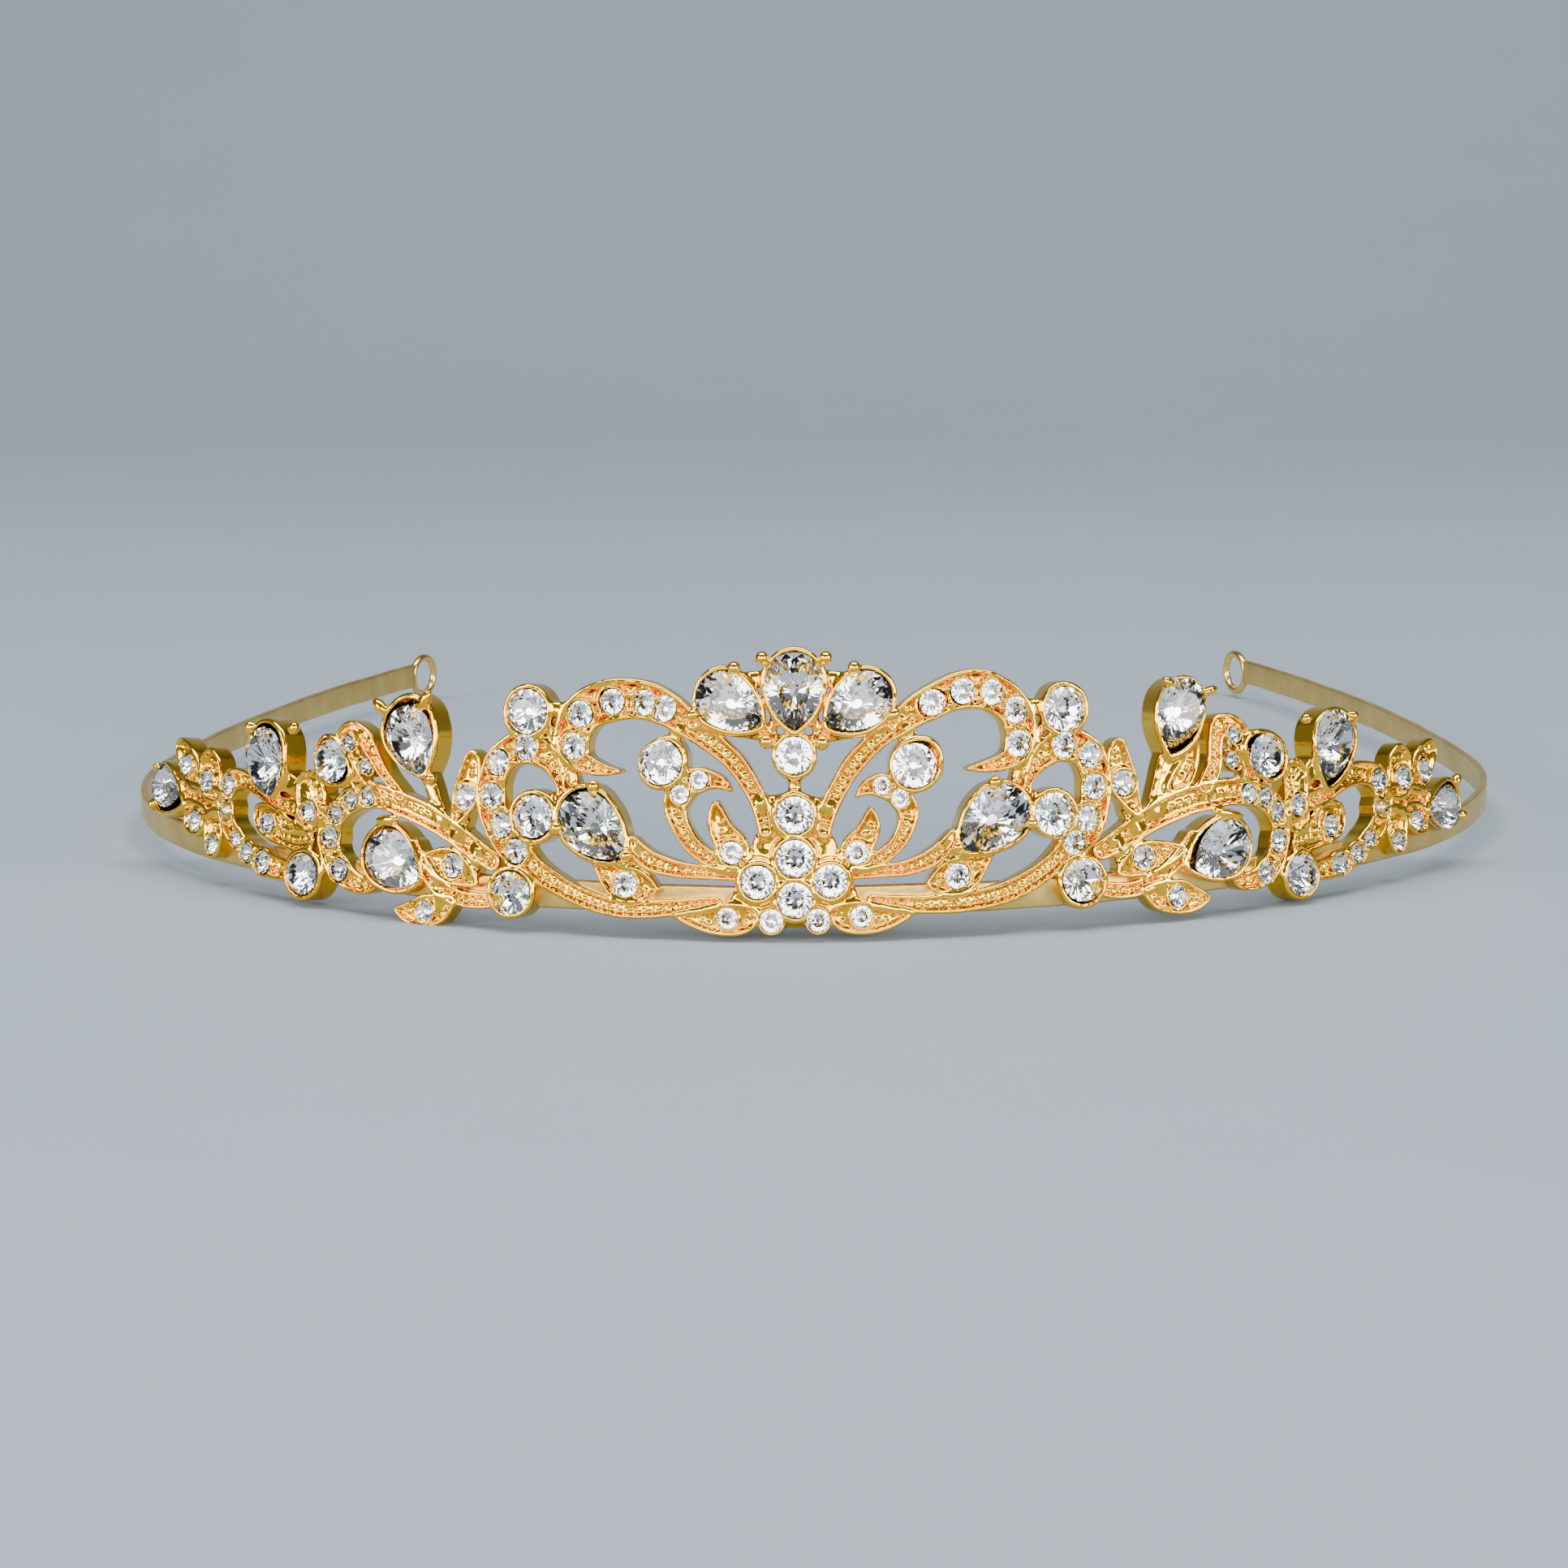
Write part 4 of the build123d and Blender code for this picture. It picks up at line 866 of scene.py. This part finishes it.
# ---------------------------------------------------------------- castings
PEAR_BALLS = [(6.3, 26.4, 0.15, 0.7, 0.7, 0.65), (10.5, 21.7, 0.15, 0.7, 0.7, 0.65),
              (24.7, 10.2, 0.15, 0.7, 0.7, 0.65), (20.9, 14.5, 0.15, 0.7, 0.7, 0.65),
              (17.0, 8.0, 0.1, 0.65, 0.65, 0.6), (3.35, 27.4, 0.1, 0.7, 0.7, 0.65),
              (2.9, 19.1, -0.1, 0.75, 0.75, 0.7)]
SIDE_BALLS = [(40.9, 22.6, 0.1, 1.0, 0.55, 0.6, 123), (46.3, 21.5, 0.1, 1.0, 0.55, 0.6, 25),
              (58.6, 17.8, 0.1, 0.65, 0.65, 0.6), (65.7, 17.2, 0.1, 0.65, 0.65, 0.6),
              (46.1, 9.5, -0.2, 1.7, 0.5, 0.5, -10)]
END_BALLS = [(84.9, 9.1, 0.0, 0.6, 0.6, 0.6), (85.1, 5.1, 0.0, 0.6, 0.6, 0.6)]
EXTRA_LEAF = [(39.8, 12.3), (41.5, 14.6), (43.2, 16.2), (44.6, 17.3), (44.4, 15.2), (43.2, 13.0),
              (41.6, 11.9)]
EXTRA_BALL = (-39.6, 14.8, 0.0, 0.7, 0.7, 0.65)


def mirrored(balls):
    """The same prongs on the left."""
    out = []
    for ball in balls:
        turn = (180 - ball[6],) if len(ball) > 6 else ()
        out.append((-ball[0],) + tuple(ball[1:6]) + turn)
    return out


paired_rounds = (HUB_SIDE + SHOULDER + HOOK + INNER + KNUCKLE + CENTRE_LEAF + HOOK_CHIPS
                 + UPPER_SCROLL + LOWER_SCROLL)
make_casting("metal.centre", "centre_scroll_casting", (-36.5, 36.5),
             both_sides([MAIN_SCROLL, HOOK_SCROLL, UPPER_BAR, LOWER_SCROLL_BAR]),
             both_sides([UP_LEAF, LOW_LEAF, RIM_LEAF]), [HUB], [STEM_BAR] + both_sides(LINKS),
             CREST_DROP + STEM + HUB_UPPER + HUB_LOWER + both_sides(paired_rounds),
             CREST_PEAR + both_sides(SIDE_CREST_PEAR + SCROLL_PEAR), PEAR_BALLS + mirrored(PEAR_BALLS), 11)

side_bars = [SIDE_BAR, SIDE_RIM, CURL, C_BAR]
side_leaves = [SIDE_UP_LEAF, SIDE_MID_LEAF, SIDE_LOW_LEAF, FLOWER_LEAF, FLOWER_TONGUE]
side_rounds = SIDE_LEAF + CURL_CHIPS + SIDE_SCROLL + SMALL_FLOWER + C_SCROLL + UPPER_SIDE + LOWER_SIDE
side_pears = TALL_PEAR + LOW_PEAR + REAR_PEAR
end_leaves = [END_LEAF_A, END_LEAF_B, END_LEAF_C, END_LEAF_D]
make_casting("metal.side_right", "side_scroll_casting_right", (29.0, 73.5), side_bars,
             side_leaves + [EXTRA_LEAF], [], SIDE_LINKS, side_rounds, side_pears, SIDE_BALLS, 23)
make_casting("metal.side_left", "side_scroll_casting_left", (-73.5, -29.0), left_side(side_bars),
             left_side(side_leaves), [], left_side(SIDE_LINKS), left_side(side_rounds), left_side(side_pears),
             mirrored(SIDE_BALLS) + [EXTRA_BALL], 37)
make_casting("metal.end_right", "end_flower_casting_right", (68.0, 91.0), [END_STEM], end_leaves, [], [],
             END_FLOWER, END_PEAR, END_BALLS, 51)
make_casting("metal.end_left", "end_flower_casting_left", (-91.0, -68.0), left_side([END_STEM]),
             left_side(end_leaves), [], [], left_side(END_FLOWER), left_side(END_PEAR),
             mirrored(END_BALLS), 67)

# ---------------------------------------------------------------- stones
make_stones("crest_centre_pear", CREST_PEAR)
for node, stones in (("crest_drop_round", CREST_DROP), ("stem_round", STEM), ("hub_upper_round", HUB_UPPER),
                     ("hub_lower_round", HUB_LOWER)):
    make_stones(node, stones)
for node, stones in (("crest_pear", SIDE_CREST_PEAR), ("scroll_pear", SCROLL_PEAR),
                     ("tall_side_pear", TALL_PEAR), ("low_side_pear", LOW_PEAR),
                     ("rear_pear", REAR_PEAR), ("end_pear", END_PEAR),
                     ("hub_side_rounds", HUB_SIDE), ("shoulder_round", SHOULDER), ("hook_round", HOOK),
                     ("inner_round", INNER), ("knuckle_round", KNUCKLE), ("upper_side_round", UPPER_SIDE),
                     ("lower_side_round", LOWER_SIDE), ("centre_leaf_rounds", CENTRE_LEAF),
                     ("hook_chips", HOOK_CHIPS), ("upper_scroll_rounds", UPPER_SCROLL),
                     ("lower_scroll_rounds", LOWER_SCROLL), ("side_leaf_rounds", SIDE_LEAF),
                     ("curl_chips", CURL_CHIPS), ("side_scroll_rounds", SIDE_SCROLL),
                     ("small_flower_rounds", SMALL_FLOWER), ("c_scroll_rounds", C_SCROLL),
                     ("end_flower_rounds", END_FLOWER)):
    make_stones(node + "_right", stones)
    make_stones(node + "_left", left_side(stones))

make_band()
make_loop(1, "end_loop_right")
make_loop(-1, "end_loop_left")

# ---------------------------------------------------------------- stage, light and camera, in metres
SHEET_FRONT, SHEET_BEND, SHEET_SWEEP = -1.2, 0.45, 0.5
SHEET_HALF_WIDTH, SHEET_TOP = 2.0, 2.0
LIGHT_AIM = (0, 0.05, 0.01)
# name, place, width, height, power
LIGHTS = [("top_soft", (0.0, -0.05, 0.75), 1.0, 0.35, 11.0),
          ("left_soft", (-0.78, -0.5, 0.26), 0.42, 0.42, 8.0),
          ("right_soft", (0.78, -0.5, 0.26), 0.42, 0.42, 7.0),
          ("front_soft", (0.0, -1.0, 0.30), 1.1, 0.34, 10.0)]
SKY_COLOUR, SKY_STRENGTH = (0.86, 0.93, 1.0, 1), 0.22
LENS, SENSOR = 101.391, 36
CAMERA_PLACE = (0.0140915, -0.4304453, 0.0987721)
CAMERA_TURN = ((0.99940512, 0.00349497, 0.03431013), (0.03303761, 0.18842437, -0.98153185),
               (-0.00989529, 0.98208148, 0.18819681))


def make_backdrop():
    """Pale sheet that lies flat and sweeps up far behind the object."""
    profile = [(SHEET_FRONT, 0.0), (SHEET_BEND, 0.0)]
    for a in range(5, 91, 5):
        profile.append((SHEET_BEND + SHEET_SWEEP * sin(radians(a)),
                        SHEET_SWEEP - SHEET_SWEEP * cos(radians(a))))
    profile.append((SHEET_BEND + SHEET_SWEEP, SHEET_TOP))
    points, faces = [], []
    for y, z in profile:
        points += [(-SHEET_HALF_WIDTH, y, z), (SHEET_HALF_WIDTH, y, z)]
    for i in range(len(profile) - 1):
        faces.append((2 * i, 2 * i + 1, 2 * i + 3, 2 * i + 2))
    mesh = bpy.data.meshes.new("backdrop")
    mesh.from_pydata(points, [], faces)
    mesh.polygons.foreach_set("use_smooth", [True] * len(faces))
    mesh.materials.append(backdrop())
    sheet = bpy.data.objects.new("backdrop", mesh)
    bpy.context.scene.collection.objects.link(sheet)


def area_light(name, place, width, height, power):
    """A white rectangular light that looks at the object."""
    light = bpy.data.lights.new(name, "AREA")
    light.shape = "RECTANGLE"
    light.size = width
    light.size_y = height
    light.energy = power
    light.color = (1, 1, 1)
    lamp = bpy.data.objects.new(name, light)
    lamp.location = place
    lamp.rotation_euler = (Vector(LIGHT_AIM) - Vector(place)).to_track_quat("-Z", "Y").to_euler()
    bpy.context.scene.collection.objects.link(lamp)


make_backdrop()
for light in LIGHTS:
    area_light(*light)
world = bpy.data.worlds.new("studio")
bpy.context.scene.world = world
world.use_nodes = True
sky = next(n for n in world.node_tree.nodes if n.type == "BACKGROUND")
sky.inputs["Color"].default_value = SKY_COLOUR
sky.inputs["Strength"].default_value = SKY_STRENGTH

lens = bpy.data.cameras.new("camera")
lens.lens = LENS
lens.sensor_width = SENSOR
camera = bpy.data.objects.new("camera", lens)
camera.matrix_world = Matrix.Translation(CAMERA_PLACE) @ Matrix(CAMERA_TURN).to_4x4()
bpy.context.scene.collection.objects.link(camera)
bpy.context.scene.camera = camera
